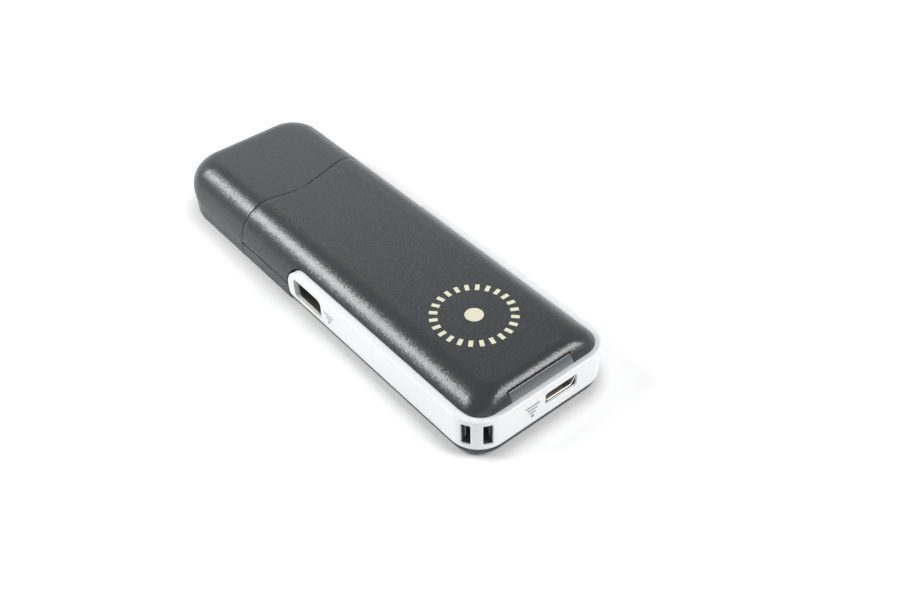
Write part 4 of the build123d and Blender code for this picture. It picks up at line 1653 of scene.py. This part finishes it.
@dataclass
class Repeater:
    """Geometry Nodes tree that repeats the piece it stands on."""

    pattern: Pattern
    count: int = 4
    step: Triple = (0.0, 0.0, 0.0)
    radius: float = 0.0

    def tree(self) -> NodeTree:
        """Builds the tree with named inputs for its sizes.

        Returns:
            The tree.
        """
        tree = bpy.data.node_groups.new(f"repeat_{self.pattern.value}", "GeometryNodeTree")
        kinds = {
            "Unit": "Geometry", "Count": "Int", "Step": "Vector", "Radius": "Float",
            "Finish": "Material",
        }
        for name, kind in kinds.items():
            tree.interface.new_socket(name, in_out="INPUT", socket_type=f"NodeSocket{kind}")
        tree.interface.new_socket("Row", in_out="OUTPUT", socket_type="NodeSocketGeometry")
        given = tree.nodes.new("NodeGroupInput").outputs
        onto = add_node(tree, "GeometryNodeInstanceOnPoints", {"Instance": given["Unit"]})
        if self.pattern is Pattern.RING:
            points = add_node(
                tree, "GeometryNodeMeshCircle", {"Vertices": given["Count"], "Radius": given["Radius"]})
            where = add_node(tree, "GeometryNodeInputPosition", {}).outputs["Position"]
            turn = add_node(tree, "FunctionNodeAlignEulerToVector", {"Vector": where}, axis="X")
            feed(onto, {"Rotation": turn.outputs["Rotation"]})
        else:
            sides = add_node(tree, "ShaderNodeSeparateXYZ", {0: given["Step"]}).outputs
            points = add_node(tree, "GeometryNodeMeshGrid", {
                "Vertices X": 2, "Vertices Y": 2, "Size X": sides["X"], "Size Y": sides["Y"]})
        feed(onto, {"Points": points.outputs["Mesh"]})
        real = add_node(tree, "GeometryNodeRealizeInstances", {"Geometry": onto.outputs["Instances"]})
        paint = add_node(tree, "GeometryNodeSetMaterial", {
            "Geometry": real.outputs["Geometry"], "Material": given["Finish"]})
        add_node(tree, "NodeGroupOutput", {"Row": paint.outputs["Geometry"]})
        return tree

    def repeat(self, unit: Sheet, name: str, finish: Material, first: Vector) -> Object:
        """Makes the row as one plain mesh.

        Args:
            unit: one item, at the origin.
            name: the piece's name.
            finish: its material.
            first: where the pattern's origin goes.

        Returns:
            The piece.
        """
        made = unit.piece(name, finish)
        row = made.modifiers.new("row", "NODES")
        tree = self.tree()
        row.node_group = tree
        values = {
            "Count": self.count, "Step": Vector(self.step) * MM, "Radius": self.radius * MM,
            "Finish": finish,
        }
        for item in tree.interface.items_tree:
            if item.in_out == "INPUT" and item.name in values:
                row[item.identifier] = values[item.name]
        plain(made)
        made.data.transform(Matrix.Translation(first * MM))
        return made


# Finishes

@cache
def grain_group() -> NodeTree:
    """Shared effect: fine noise on Object coordinates.

    Returns:
        The group, with a fine mask and a broad one as outputs.
    """
    tree, given, result = open_group(
        "fine_grain", {"Size": 4000.0, "Low": 0.35, "High": 0.65}, {"Mask": "Float", "Broad": "Float"})
    where = own_place(tree)
    fine = add_node(tree, "ShaderNodeTexNoise", {"Vector": where, "Scale": given["Size"], "Detail": 2.0})
    broad = add_node(tree, "ShaderNodeTexNoise", {"Vector": where, "Scale": 90.0, "Detail": 3.0})
    span = add_node(tree, "ShaderNodeMapRange", {
        "Value": fine.outputs["Fac"], "From Min": given["Low"], "From Max": given["High"]})
    feed(result, {"Mask": span.outputs["Result"], "Broad": broad.outputs["Fac"]})
    return tree


@cache
def flake_group() -> NodeTree:
    """Shared effect: small cells that tilt the surface, as in a sparkling paint.

    Returns:
        The group, with a normal as output.
    """
    tree, given, result = open_group("flakes", {"Size": 4000.0, "Tilt": 0.3}, {"Normal": "Vector"})

    def vector(operation: str, inputs: dict) -> NodeSocket:
        """Result of one vector operation."""
        return add_node(tree, "ShaderNodeVectorMath", inputs, operation=operation).outputs[0]

    cells = add_node(
        tree, "ShaderNodeTexVoronoi", {"Vector": own_place(tree), "Scale": given["Size"]}, feature="F1")
    centred = vector("SUBTRACT", {0: cells.outputs["Color"], 1: (0.5, 0.5, 0.5)})
    tilt = vector("SCALE", {0: centred, "Scale": given["Tilt"]})
    surface = add_node(tree, "ShaderNodeNewGeometry", {}).outputs["Normal"]
    feed(result, {"Normal": vector("NORMALIZE", {0: vector("ADD", {0: tilt, 1: surface})})})
    return tree


def open_group(
    name: str, inputs: dict[str, float], outputs: dict[str, str]
) -> tuple[NodeTree, NodeOutputs, Node]:
    """Starts the group of a shared effect.

    Args:
        name: its name.
        inputs: its inputs and their first values.
        outputs: its outputs and their kinds.

    Returns:
        The group, what comes into it and the node that ends it.
    """
    tree = bpy.data.node_groups.new(name, "ShaderNodeTree")
    for label, value in inputs.items():
        socket = tree.interface.new_socket(label, in_out="INPUT", socket_type="NodeSocketFloat")
        socket.default_value = value
    for label, kind in outputs.items():
        tree.interface.new_socket(label, in_out="OUTPUT", socket_type=f"NodeSocket{kind}")
    return tree, tree.nodes.new("NodeGroupInput").outputs, tree.nodes.new("NodeGroupOutput")


def own_place(tree: NodeTree) -> NodeSocket:
    """Object coordinates, for a pattern that stays with its piece."""
    return tree.nodes.new("ShaderNodeTexCoord").outputs["Object"]


def group_outputs(tree: NodeTree, group: NodeTree, **values: float) -> NodeOutputs:
    """Places a shared group in a material.

    Args:
        tree: the material's tree.
        group: the group.
        values: its inputs' values.

    Returns:
        What the group puts out.
    """
    node = tree.nodes.new("ShaderNodeGroup")
    node.node_tree = group
    return feed(node, values).outputs


def blend_colour(
    tree: NodeTree, factor: NodeSocket,
    low: tuple[float, ...] | NodeSocket, high: tuple[float, ...],
) -> NodeSocket:
    """Mixes two colours by a mask.

    Args:
        tree: the material's tree.
        factor: the mask's socket.
        low: the colour at 0, or its socket.
        high: the colour at 1.

    Returns:
        The mixed colour's socket.
    """
    first = low if isinstance(low, NodeSocket) else (*low, 1.0)
    inputs = {"Factor": factor, "A": first, "B": (*high, 1.0)}
    return add_node(tree, "ShaderNodeMix", inputs, data_type="RGBA").outputs["Result"]


def blend_value(tree: NodeTree, factor: NodeSocket, low: float, high: float) -> NodeSocket:
    """Turns a mask into a value between two ends."""
    inputs = {"Value": factor, "To Min": low, "To Max": high}
    return add_node(tree, "ShaderNodeMapRange", inputs).outputs["Result"]


def combine(
    tree: NodeTree, operation: str, first: NodeSocket,
    second: NodeSocket | float,
) -> NodeSocket:
    """Result of one operation on two values."""
    return add_node(tree, "ShaderNodeMath", {0: first, 1: second}, operation=operation).outputs["Value"]


def seen_rays(tree: NodeTree) -> NodeSocket:
    """Marks the rays that show the background: the camera's, mirrored and refracted ones.

    Args:
        tree: the material's or world's tree.

    Returns:
        The mask's socket, 1 for such a ray.
    """
    path = tree.nodes.new("ShaderNodeLightPath").outputs
    mirrored = combine(tree, "MAXIMUM", path["Is Camera Ray"], path["Is Glossy Ray"])
    return combine(tree, "MAXIMUM", mirrored, path["Is Transmission Ray"])


def bump(tree: NodeTree, height: NodeSocket, strength: float, distance: float) -> NodeSocket:
    """Normal of a surface with a bump, whose depth is given in metres."""
    inputs = {"Height": height, "Strength": strength, "Distance": distance}
    return add_node(tree, "ShaderNodeBump", inputs).outputs["Normal"]


@dataclass(frozen=True)
class Shade:
    """One node material."""

    name: str

    def start(self) -> tuple[Material, NodeTree, Node]:
        """Makes the material.

        Returns:
            The material, its tree and its Principled shader.
        """
        material = bpy.data.materials.new(self.name)
        material.use_nodes = True
        tree = material.node_tree
        return material, tree, tree.nodes["Principled BSDF"]


@dataclass(frozen=True)
class SparklingBlack(Shade):
    """Black case finish with fine metallic flakes."""

    name: str = "sparkling_black"
    dark: Triple = (0.001, 0.003, 0.006)
    light: Triple = (0.007, 0.011, 0.015)
    cell: float = 0.17
    tilt: float = 0.12
    roughness: float = 0.27
    gloss: float = 0.58

    def build(self) -> Material:
        """Makes the material.

        Returns:
            The material.
        """
        material, tree, shader = self.start()
        flakes = group_outputs(tree, flake_group(), Size=1 / (self.cell * MM), Tilt=self.tilt)
        grain = group_outputs(
            tree, grain_group(), Size=1 / (self.cell * 1.6 * MM), Low=0.42, High=0.7)
        feed(shader, {
            "Base Color": blend_colour(tree, grain["Mask"], self.dark, self.light),
            "Roughness": blend_value(tree, grain["Broad"], self.roughness - 0.03, self.roughness + 0.05),
            "Normal": flakes["Normal"],
            "IOR": 1.5,
            "Specular IOR Level": self.gloss,
        })
        return material


@dataclass(frozen=True)
class Moulded(Shade):
    """Plain moulded plastic with a fine grain."""

    colour: Triple
    roughness: float = 0.4
    spread: float = 0.12
    grain: float = 0.25
    depth: float = 0.004
    coat: float = 0.0

    def build(self) -> Material:
        """Makes the material.

        Returns:
            The material.
        """
        material, tree, shader = self.start()
        grain = group_outputs(tree, grain_group(), Size=1 / (self.grain * MM), Low=0.3, High=0.7)
        darker = tuple(c * (1 - self.spread) for c in self.colour)
        feed(shader, {
            "Base Color": blend_colour(tree, grain["Broad"], darker, self.colour),
            "Roughness": blend_value(tree, grain["Mask"], self.roughness * 0.92, self.roughness * 1.08),
            "Normal": bump(tree, grain["Mask"], 0.4, self.depth * MM),
            "Coat Weight": self.coat,
            "Coat Roughness": 0.2,
        })
        return material


@dataclass(frozen=True)
class Metal(Shade):
    """Sheet, plated or turned metal with fine scratches along one way."""

    colour: Triple
    roughness: float = 0.28
    stretch: Triple = (1.0, 12.0, 1.0)
    scratch: float = 0.12

    def build(self) -> Material:
        """Makes the material.

        Returns:
            The material.
        """
        material, tree, shader = self.start()
        scale = tuple(1 / (self.scratch * MM * s) for s in self.stretch)
        drawn = add_node(tree, "ShaderNodeMapping", {"Vector": own_place(tree), "Scale": scale})
        scratches = add_node(tree, "ShaderNodeTexNoise", {
            "Vector": drawn.outputs["Vector"], "Scale": 1.0, "Detail": 2.0}).outputs["Fac"]
        dull = tuple(c * 0.82 for c in self.colour)
        feed(shader, {
            "Base Color": blend_colour(tree, scratches, dull, self.colour),
            "Roughness": blend_value(tree, scratches, self.roughness * 0.8, self.roughness * 1.25),
            "Normal": bump(tree, scratches, 0.25, 0.002 * MM),
            "Metallic": 1.0,
        })
        return material


@dataclass(frozen=True)
class Smoked(Shade):
    """Smoky translucent plastic, darker above."""

    colour: Triple
    transmission: float = 0.35
    roughness: float = 0.22
    fade: Pair = (9.3, 10.7)

    def build(self) -> Material:
        """Makes the material.

        Returns:
            The material.
        """
        material, tree, shader = self.start()
        grain = group_outputs(tree, grain_group(), Size=1 / (0.2 * MM), Low=0.3, High=0.7)
        darker = tuple(c * 0.85 for c in self.colour)
        even = blend_colour(tree, grain["Broad"], darker, self.colour)
        height = add_node(tree, "ShaderNodeSeparateXYZ", {"Vector": own_place(tree)}).outputs["Z"]
        low, high = (z * MM for z in self.fade)
        rise = add_node(tree, "ShaderNodeMapRange", {"Value": height, "From Min": low, "From Max": high})
        above = tuple(c * 0.5 for c in darker)
        feed(shader, {
            "Base Color": blend_colour(tree, rise.outputs["Result"], even, above),
            "Roughness": blend_value(tree, grain["Mask"], self.roughness * 0.9, self.roughness * 1.1),
            "Transmission Weight": self.transmission,
            "IOR": 1.5,
        })
        return material


@dataclass(frozen=True)
class BoardMask(Shade):
    """Solder mask with faint copper tracks under it."""

    name: str = "board_mask"
    colour: Triple = (0.015, 0.10, 0.045)
    track: Triple = (0.04, 0.19, 0.08)

    def build(self) -> Material:
        """Makes the material.

        Returns:
            The material.
        """
        material, tree, shader = self.start()
        tracks = add_node(tree, "ShaderNodeTexBrick", {
            "Vector": own_place(tree), "Scale": 260.0, "Mortar Size": 0.03,
            "Color1": (*self.colour, 1), "Color2": (*(c * 1.15 for c in self.colour), 1),
            "Mortar": (*self.track, 1),
        }).outputs
        feed(shader, {
            "Base Color": tracks["Color"], "Normal": bump(tree, tracks["Fac"], 0.4, 0.02 * MM),
            "Roughness": 0.32,
        })
        return material


class Finishes:
    """Every finish of the object, built once."""

    def __init__(self) -> None:
        """Builds them all."""
        self.case = SparklingBlack().build()
        self.band = Moulded("band_white", (0.87, 0.88, 0.895), 0.34, 0.02, 0.5, 0.0002, 0.25).build()
        self.window = Smoked("window_smoke", (0.2, 0.225, 0.245), 0.1, 0.2).build()
        self.mark = Moulded("mark_cream", (0.80, 0.79, 0.60), 0.5, 0.06, 0.15, 0.003).build()
        self.print_grey = Moulded("print_grey", (0.30, 0.30, 0.31), 0.5, 0.1, 0.15, 0.002).build()
        self.black = Moulded("moulded_black", (0.018, 0.018, 0.019), 0.42).build()
        # Dark grey that paints the shade inside the strap windows, on the tunnel and its sheets.
        self.shade_grey = Moulded("painted_shade_grey", (0.11, 0.11, 0.115), 0.4).build()
        self.collar = Moulded("collar_black", (0.024, 0.024, 0.026), 0.38, 0.15, 0.3).build()
        self.button = Moulded("button_black", (0.03, 0.03, 0.032), 0.3, 0.15, 0.3, 0.004, 0.2).build()
        self.beige = Moulded("moulded_beige", (0.55, 0.48, 0.38), 0.45).build()
        self.steel = Metal("tinned_steel", (0.66, 0.65, 0.64)).build()
        # Steel made darker to paint the shade inside the side port.
        self.shaded_steel = Metal("steel_painted_shade", (0.26, 0.255, 0.235), 0.4).build()
        self.gold = Metal("gold_plate", (0.90, 0.66, 0.30), 0.22).build()
        self.screw = Metal("blackened_steel", (0.16, 0.16, 0.17), 0.35, (1.0, 1.0, 1.0)).build()
        self.sink = Metal("blasted_aluminium", (0.70, 0.71, 0.72), 0.5, (1.0, 1.0, 1.0)).build()
        self.board = BoardMask().build()
        self.chip = Moulded("chip_black", (0.022, 0.022, 0.024), 0.5, 0.2, 0.12).build()
        self.pad = Moulded("pad_grey", (0.40, 0.43, 0.47), 0.8, 0.1, 0.4).build()
        self.ceramic = Moulded("ceramic_tan", (0.42, 0.31, 0.19), 0.45, 0.15, 0.2).build()
        self.ferrite = Moulded("ferrite_grey", (0.09, 0.09, 0.095), 0.6, 0.2, 0.2).build()
        self.lamp = Smoked("lamp_clear", (0.80, 0.84, 0.86), 0.6, 0.15).build()


# Sub-assemblies

@dataclass
class Casing:
    """Covers, cap, band, window, mark and collar."""

    finishes: Finishes
    mark_middle: float = -29.8
    mark_radius: float = 7.9
    mark_ticks: int = 24
    mark_height: float = 0.03
    tick: Pair = (1.5, 0.8)
    dot_radius: float = 1.7

    def build(self) -> None:
        """Builds and places every piece of the casing."""
        f = self.finishes
        collar, plug, band = Collar(), Plug(), SideBand()
        place(TopCover().make(f.case, collar), Body.STICK, "shell_black", "top_cover")
        place(BottomCover().make(f.case, collar), Body.STICK, "shell_black", "bottom_cover")
        place(Cap().make(f.case, collar), Body.CAP, "shell_black", "cap")
        place(band.make(f.band), Body.STICK, "band_white", "side_band")
        # The tunnel is part of the white band; its dark grey paints the shade inside the strap windows.
        place(band.tunnel().piece("strap_tunnel", f.shade_grey), Body.STICK, "band_white", "side_band")
        place(LightWindow().make(f.window), Body.STICK, "window_smoke", "light_window")
        place(collar.make(f.collar, plug), Body.STICK, "collar_black", "plug_collar")
        for part in (self.make_ticks(), self.make_dot()):
            place(part, Body.STICK, "mark_cream", "top_mark")

    @property
    def mark_place(self) -> Vector:
        """Middle of the mark on the top."""
        return Vector((0, self.mark_middle, FORM.height))

    def make_ticks(self) -> Object:
        """Builds the plain ring of ticks, each with rounded upright and upper edges.

        Returns:
            The piece.
        """
        long, wide = self.tick
        edge = 0.012
        stations = [(edge * 0.5, 0.0), (0.0, edge * 0.5), *roll_stations(0.0, self.mark_height, edge)]
        tick = lathe_along(rounded_rectangle(long, wide, edge * 1.5, 3), stations, Matrix.Identity(4))
        ring = Repeater(Pattern.RING, self.mark_ticks, radius=self.mark_radius - long / 2)
        return ring.repeat(tick, "mark_ticks", self.finishes.mark, self.mark_place)

    def make_dot(self) -> Object:
        """Builds the dot in the middle of the ring.

        Returns:
            The piece.
        """
        stations = [(0.0, 0.0), (0.0, self.mark_height * 0.7), (0.02, self.mark_height)]
        dot = lathe_along(
            lambda inset: circle(self.dot_radius - inset, 48), stations,
            Matrix.Translation(self.mark_place))
        return dot.piece("mark_dot", self.finishes.mark)


@dataclass
class Ports:
    """Video plug, ports, card socket, button and screws."""

    finishes: Finishes
    button_middle: Triple = (0.0, -24.0, 6.0)
    screw_rings: tuple[Pair, ...] = (
        (0.8, 7.8), (0.8, 0.8), (1.3, 0.8), (1.4, 0.7), (1.4, 0.1), (1.3, 0.0),
    )
    screw_spans: Triple = (22.0, 48.5, 0.0)
    screw_middle: Triple = (0.0, -11.75, 0.2)
    drive: Pair = (0.75, 0.16)
    drive_depth: float = 0.45

    def build(self) -> None:
        """Builds and places them."""
        f = self.finishes
        plug = Plug()
        place(plug.make_shell(f.steel), Body.STICK, "shell_steel", "plug_shell")
        place(plug.make_insulator(f.black), Body.STICK, "port_black", "plug_insulator")
        place(TailPort().make_shell(f.steel), Body.STICK, "shell_steel", "micro_port_shell")
        # This shell is steel like the others; its darker finish paints the shade inside the port.
        place(SidePort().make_shell(f.shaded_steel), Body.STICK, "shell_steel", "mini_port_shell")
        place(self.make_button(), Body.BUTTON, "button_black", "power_button")
        place(self.make_screws(), Body.STICK, "screw_steel", "case_screws")

    def make_button(self) -> Object:
        """Builds the power button with its flange and stem.

        Returns:
            The piece.
        """
        head = [(0.0, 14.3), *roll_stations(0.0, 15.95, 0.28), (0.9, 15.93)]
        flange = [(0.1, 13.8), (0.0, 13.9), (0.0, 14.28), (0.1, 14.38)]
        stem = [(0.1, 13.2), (0.0, 13.3), (0.0, 13.85)]
        sheet = Sheet()
        matrix = Matrix.Translation(self.button_middle) @ OUT_OF_RIGHT
        for outline, stations in (
                (rounded_rectangle(4.8, 2.2, 1.09, 10), head),
                (rounded_rectangle(6.0, 3.1, 1.5, 10), flange),
                (lambda inset: circle(0.7 - inset, 24), stem)):
            sheet.take(lathe_along(outline, stations, matrix))
        return sheet.piece("power_button_looks", self.finishes.button)

    def make_screws(self) -> Object:
        """Builds the four case screws from one modelled screw with a cross drive.

        Returns:
            The piece.
        """
        unit = Sheet()
        rings = [
            [Vector((*p, height)) for p in circle(radius, 40, shift=0.5)]
            for radius, height in self.screw_rings
        ]
        placed = unit.grid(rings, closed=True)
        unit.face(placed[0])
        arm, half = self.drive
        star = []
        for quarter in range(4):
            turn = Matrix.Rotation(quarter * math.pi / 2, 2)
            star += [turn @ Vector(p) for p in ((arm, -half), (arm, half), (half, half))]
        mouth = [p.to_3d() for p in star]
        floor = [Vector((p.x * 0.7, p.y * 0.7, self.drive_depth)) for p in star]
        unit.fill([rings[-1], mouth], DOWN)
        unit.grid([mouth, floor], closed=True)
        unit.fill([floor], DOWN)
        corners = Repeater(Pattern.CORNERS, step=self.screw_spans)
        middle = Vector(self.screw_middle)
        return corners.repeat(unit, "case_screws_looks", self.finishes.screw, middle)


@dataclass
class Prints:
    """Small plain marks beside the two ports."""

    finishes: Finishes
    rise: float = 0.02
    pitch: float = 0.8
    bar_width: float = 0.34
    bar_round: float = 0.16
    dot: float = 0.7
    dot_round: float = 0.34

    def build(self) -> None:
        """Builds and places them."""
        tail = Matrix.Translation((-3.3, -FORM.half_y, 5.35)) @ OUT_OF_TAIL
        side = Matrix.Translation((-FORM.half_x, -7.5, 5.0)) @ OUT_OF_LEFT
        for name, matrix, lengths in (
                ("tail_print", tail, (3.2, 2.3, 1.4)), ("side_print", side, (3.0, 1.8))):
            sign = self.sign(matrix, lengths).piece(name, self.finishes.print_grey)
            place(sign, Body.STICK, "band_white")

    def sign(self, matrix: Matrix, lengths: Sequence[float]) -> Sheet:
        """Draws a plain sign: bars of falling length above a dot.

        Args:
            matrix: carries it to its place.
            lengths: the bars' lengths, from the top down.

        Returns:
            The raised print.
        """
        top = self.pitch * len(lengths) / 2
        patches = [
            ((length, self.bar_width, self.bar_round), top - i * self.pitch)
            for i, length in enumerate(lengths)
        ]
        patches.append(((self.dot, self.dot, self.dot_round), -top))
        stations = [(0.0, -0.02), (0.0, self.rise * 0.6), (0.015, self.rise)]
        sheet = Sheet()
        for sizes, height in patches:
            there = matrix @ Matrix.Translation((0, height, 0))
            sheet.take(lathe_along(rounded_rectangle(*sizes, 6), stations, there))
        return sheet


@dataclass
class Inside:
    """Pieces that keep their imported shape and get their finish."""

    finishes: Finishes

    def build(self) -> None:
        """Dresses every node that no piece replaces."""
        f = self.finishes
        dress = {
            "plug_contacts": f.gold, "mini_port_contacts": f.gold, "micro_port_contacts": f.gold,
            "card_contacts": f.gold, "mini_port_tongue": f.black, "micro_port_tongue": f.beige,
            "card_socket_base": f.black, "card_socket_cover": f.steel, "switch_body": f.black,
            "switch_plunger": f.beige, "main_board": f.board, "processor": f.chip,
            "memory_chips": f.chip, "flash_chip": f.chip, "power_chip": f.chip,
            "wireless_module": f.board, "module_shield": f.steel, "chip_antenna": f.ceramic,
            "clock_crystal": f.steel, "power_coils": f.ferrite, "capacitors": f.ceramic,
            "thermal_pad": f.pad, "heat_sink": f.sink, "status_led": f.lamp,
        }
        for node, material in dress.items():
            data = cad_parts[node].data
            data.materials.clear()
            data.materials.append(material)
        LOG.info("dressed %d nodes", len(dress))


# Studio

@dataclass
class Studio:
    """Floor, lights, world and camera."""

    target: Triple = (7.3957, -13.7998, 0.0)
    distance: float = 208.502
    azimuth: float = -38.222
    elevation: float = 42.377
    roll: float = -1.9915
    focal_pixels: float = 1083.38
    room: float = 0.12
    floor_lift: float = 0.28
    floor_side: float = 6000.0
    floor_drop: float = 0.02
    footprint_round: float = 8.0
    # How close to the footprint the floor's glow fades to nothing, painting a dark contact shade round
    # the base.
    painted_shade_reach: float = 0.003
    fade: Pair = (0.08, 0.45)

    def build(self) -> None:
        """Builds everything that isn't the object."""
        self.make_floor()
        self.make_world()
        self.make_lamps()
        self.make_camera()
        bpy.context.scene.view_settings.view_transform = "Standard"

    def make_floor(self) -> None:
        """Builds the pale floor, which stays white in the picture and keeps the shadow; its glow fades
        to nothing near the footprint, which paints a dark contact shade round the base.
        """
        sheet = Sheet()
        corners = rectangle(self.floor_side, self.floor_side)
        sheet.face(sheet.points([Vector((x, y, -self.floor_drop)) for x, y in corners]))
        material, tree, shader = Shade("floor").start()
        feed(shader, {"Base Color": (0.92, 0.92, 0.92, 1), "Roughness": 0.7})
        away = self.distance_from_object(tree)
        start, end = self.fade
        far = add_node(tree, "ShaderNodeMapRange", {
            "Value": away, "From Min": start, "From Max": end, "To Max": 1.0 - self.floor_lift,
        }, interpolation_type="SMOOTHSTEP")
        # Painted contact shade: this glow is zero at the footprint and full a few millimetres out, so
        # the floor darkens round the base whatever the light.
        near = add_node(tree, "ShaderNodeMapRange", {
            "Value": away, "From Max": self.painted_shade_reach, "To Max": self.floor_lift})
        both = combine(tree, "ADD", far.outputs["Result"], near.outputs["Result"])
        amount = combine(tree, "MULTIPLY", both, seen_rays(tree))
        glow = add_node(tree, "ShaderNodeEmission", {"Strength": amount})
        total = add_node(tree, "ShaderNodeAddShader", {0: shader.outputs[0], 1: glow.outputs[0]})
        feed(tree.nodes["Material Output"], {"Surface": total.outputs[0]})
        sheet.piece("floor", material, closed=False)

    def distance_from_object(self, tree: NodeTree) -> NodeSocket:
        """Measures how far a point of the floor lies from the object's footprint.

        Args:
            tree: the floor's tree.

        Returns:
            The distance's socket, in metres.
        """
        corner = self.footprint_round * MM
        size = (FORM.half_x * MM - corner, FORM.half_y * MM - corner, 1.0)
        last = own_place(tree)
        for operation, inputs in (
                ("ABSOLUTE", {}), ("SUBTRACT", {1: size}), ("MAXIMUM", {1: (0, 0, 0)}), ("LENGTH", {})):
            inputs = {0: last, **inputs}
            node = add_node(tree, "ShaderNodeVectorMath", inputs, operation=operation)
            last = node.outputs["Value" if operation == "LENGTH" else "Vector"]
        return combine(tree, "SUBTRACT", last, corner)

    def make_world(self) -> None:
        """Sets a dim room light whose white shows to the camera and in what mirrors it."""
        world = bpy.data.worlds.new("studio")
        bpy.context.scene.world = world
        world.use_nodes = True
        tree = world.node_tree
        level = add_node(tree, "ShaderNodeMix", {"Factor": seen_rays(tree), "A": self.room, "B": 1.0})
        feed(tree.nodes["Background"], {"Color": (1, 1, 1, 1), "Strength": level.outputs["Result"]})

    def make_lamps(self) -> None:
        """Adds the soft lamps."""
        self.lamp("key_box", (-226, 238, 246), (-11, 0, 10), (260, 124), 14.4, 14.0)
        self.lamp("tail_box", (196, -284, 262), (0, -46, 11), (220, 140), 12.0)
        self.lamp("front_fill", (-230, -420, 160), (0, 0, 5), (400, 200), 1.1)
        self.lamp("side_fill", (-400, -60, 90), (-16, -10, 6), (300, 120), 0.5)
        self.lamp("back_glow", (196, 350, 270), (0, 10, 12), (320, 200), 0.62)

    def lamp(
        self, name: str, spot: tuple[float, ...], aim: tuple[float, ...], size: Pair,
        strength: float, roll: float = 0.0,
    ) -> None:
        """Adds one area lamp.

        Args:
            name: its name.
            spot: its place.
            aim: where it points.
            size: its sides.
            strength: its radiance, in units of white.
            roll: its turn about the line to its aim, in degrees.
        """
        data = bpy.data.lights.new(name, "AREA")
        data.shape = "RECTANGLE"
        data.size, data.size_y = size[0] * MM, size[1] * MM
        data.energy = strength * math.pi * data.size * data.size_y
        made = bpy.data.objects.new(name, data)
        way = (Vector(aim) - Vector(spot)).normalized()
        aimed = way.to_track_quat("-Z", "Y").to_matrix().to_4x4()
        turn = aimed @ Matrix.Rotation(math.radians(roll), 4, "Z")
        made.matrix_world = Matrix.Translation(Vector(spot) * MM) @ turn
        bpy.context.scene.collection.objects.link(made)

    def make_camera(self) -> None:
        """Adds the camera at the photograph's place."""
        data = bpy.data.cameras.new("camera")
        data.sensor_width = 36.0
        data.lens = self.focal_pixels * data.sensor_width / PHOTO_SIZE[0]
        data.clip_start, data.clip_end = 0.01, 20.0
        made = bpy.data.objects.new("camera", data)
        a, e, r = (math.radians(v) for v in (self.azimuth, self.elevation, self.roll))
        back = Vector((math.sin(a) * math.cos(e), -math.cos(a) * math.cos(e), math.sin(e)))
        right = Vector((math.cos(a), math.sin(a), 0))
        up = back.cross(right)
        across = math.cos(r) * right + math.sin(r) * up
        upward = -math.sin(r) * right + math.cos(r) * up
        spot = (Vector(self.target) + back * self.distance) * MM
        turn = Matrix((across, upward, back)).transposed().to_4x4()
        made.matrix_world = Matrix.Translation(spot) @ turn
        bpy.context.scene.collection.objects.link(made)
        bpy.context.scene.camera = made


def main() -> None:
    """Builds the object's looks and its studio."""
    logging.basicConfig(level=logging.INFO, format="%(name)s: %(message)s")
    finishes = Finishes()
    Casing(finishes).build()
    Ports(finishes).build()
    Prints(finishes).build()
    Inside(finishes).build()
    Studio().build()


if __name__ == "__main__":
    main()
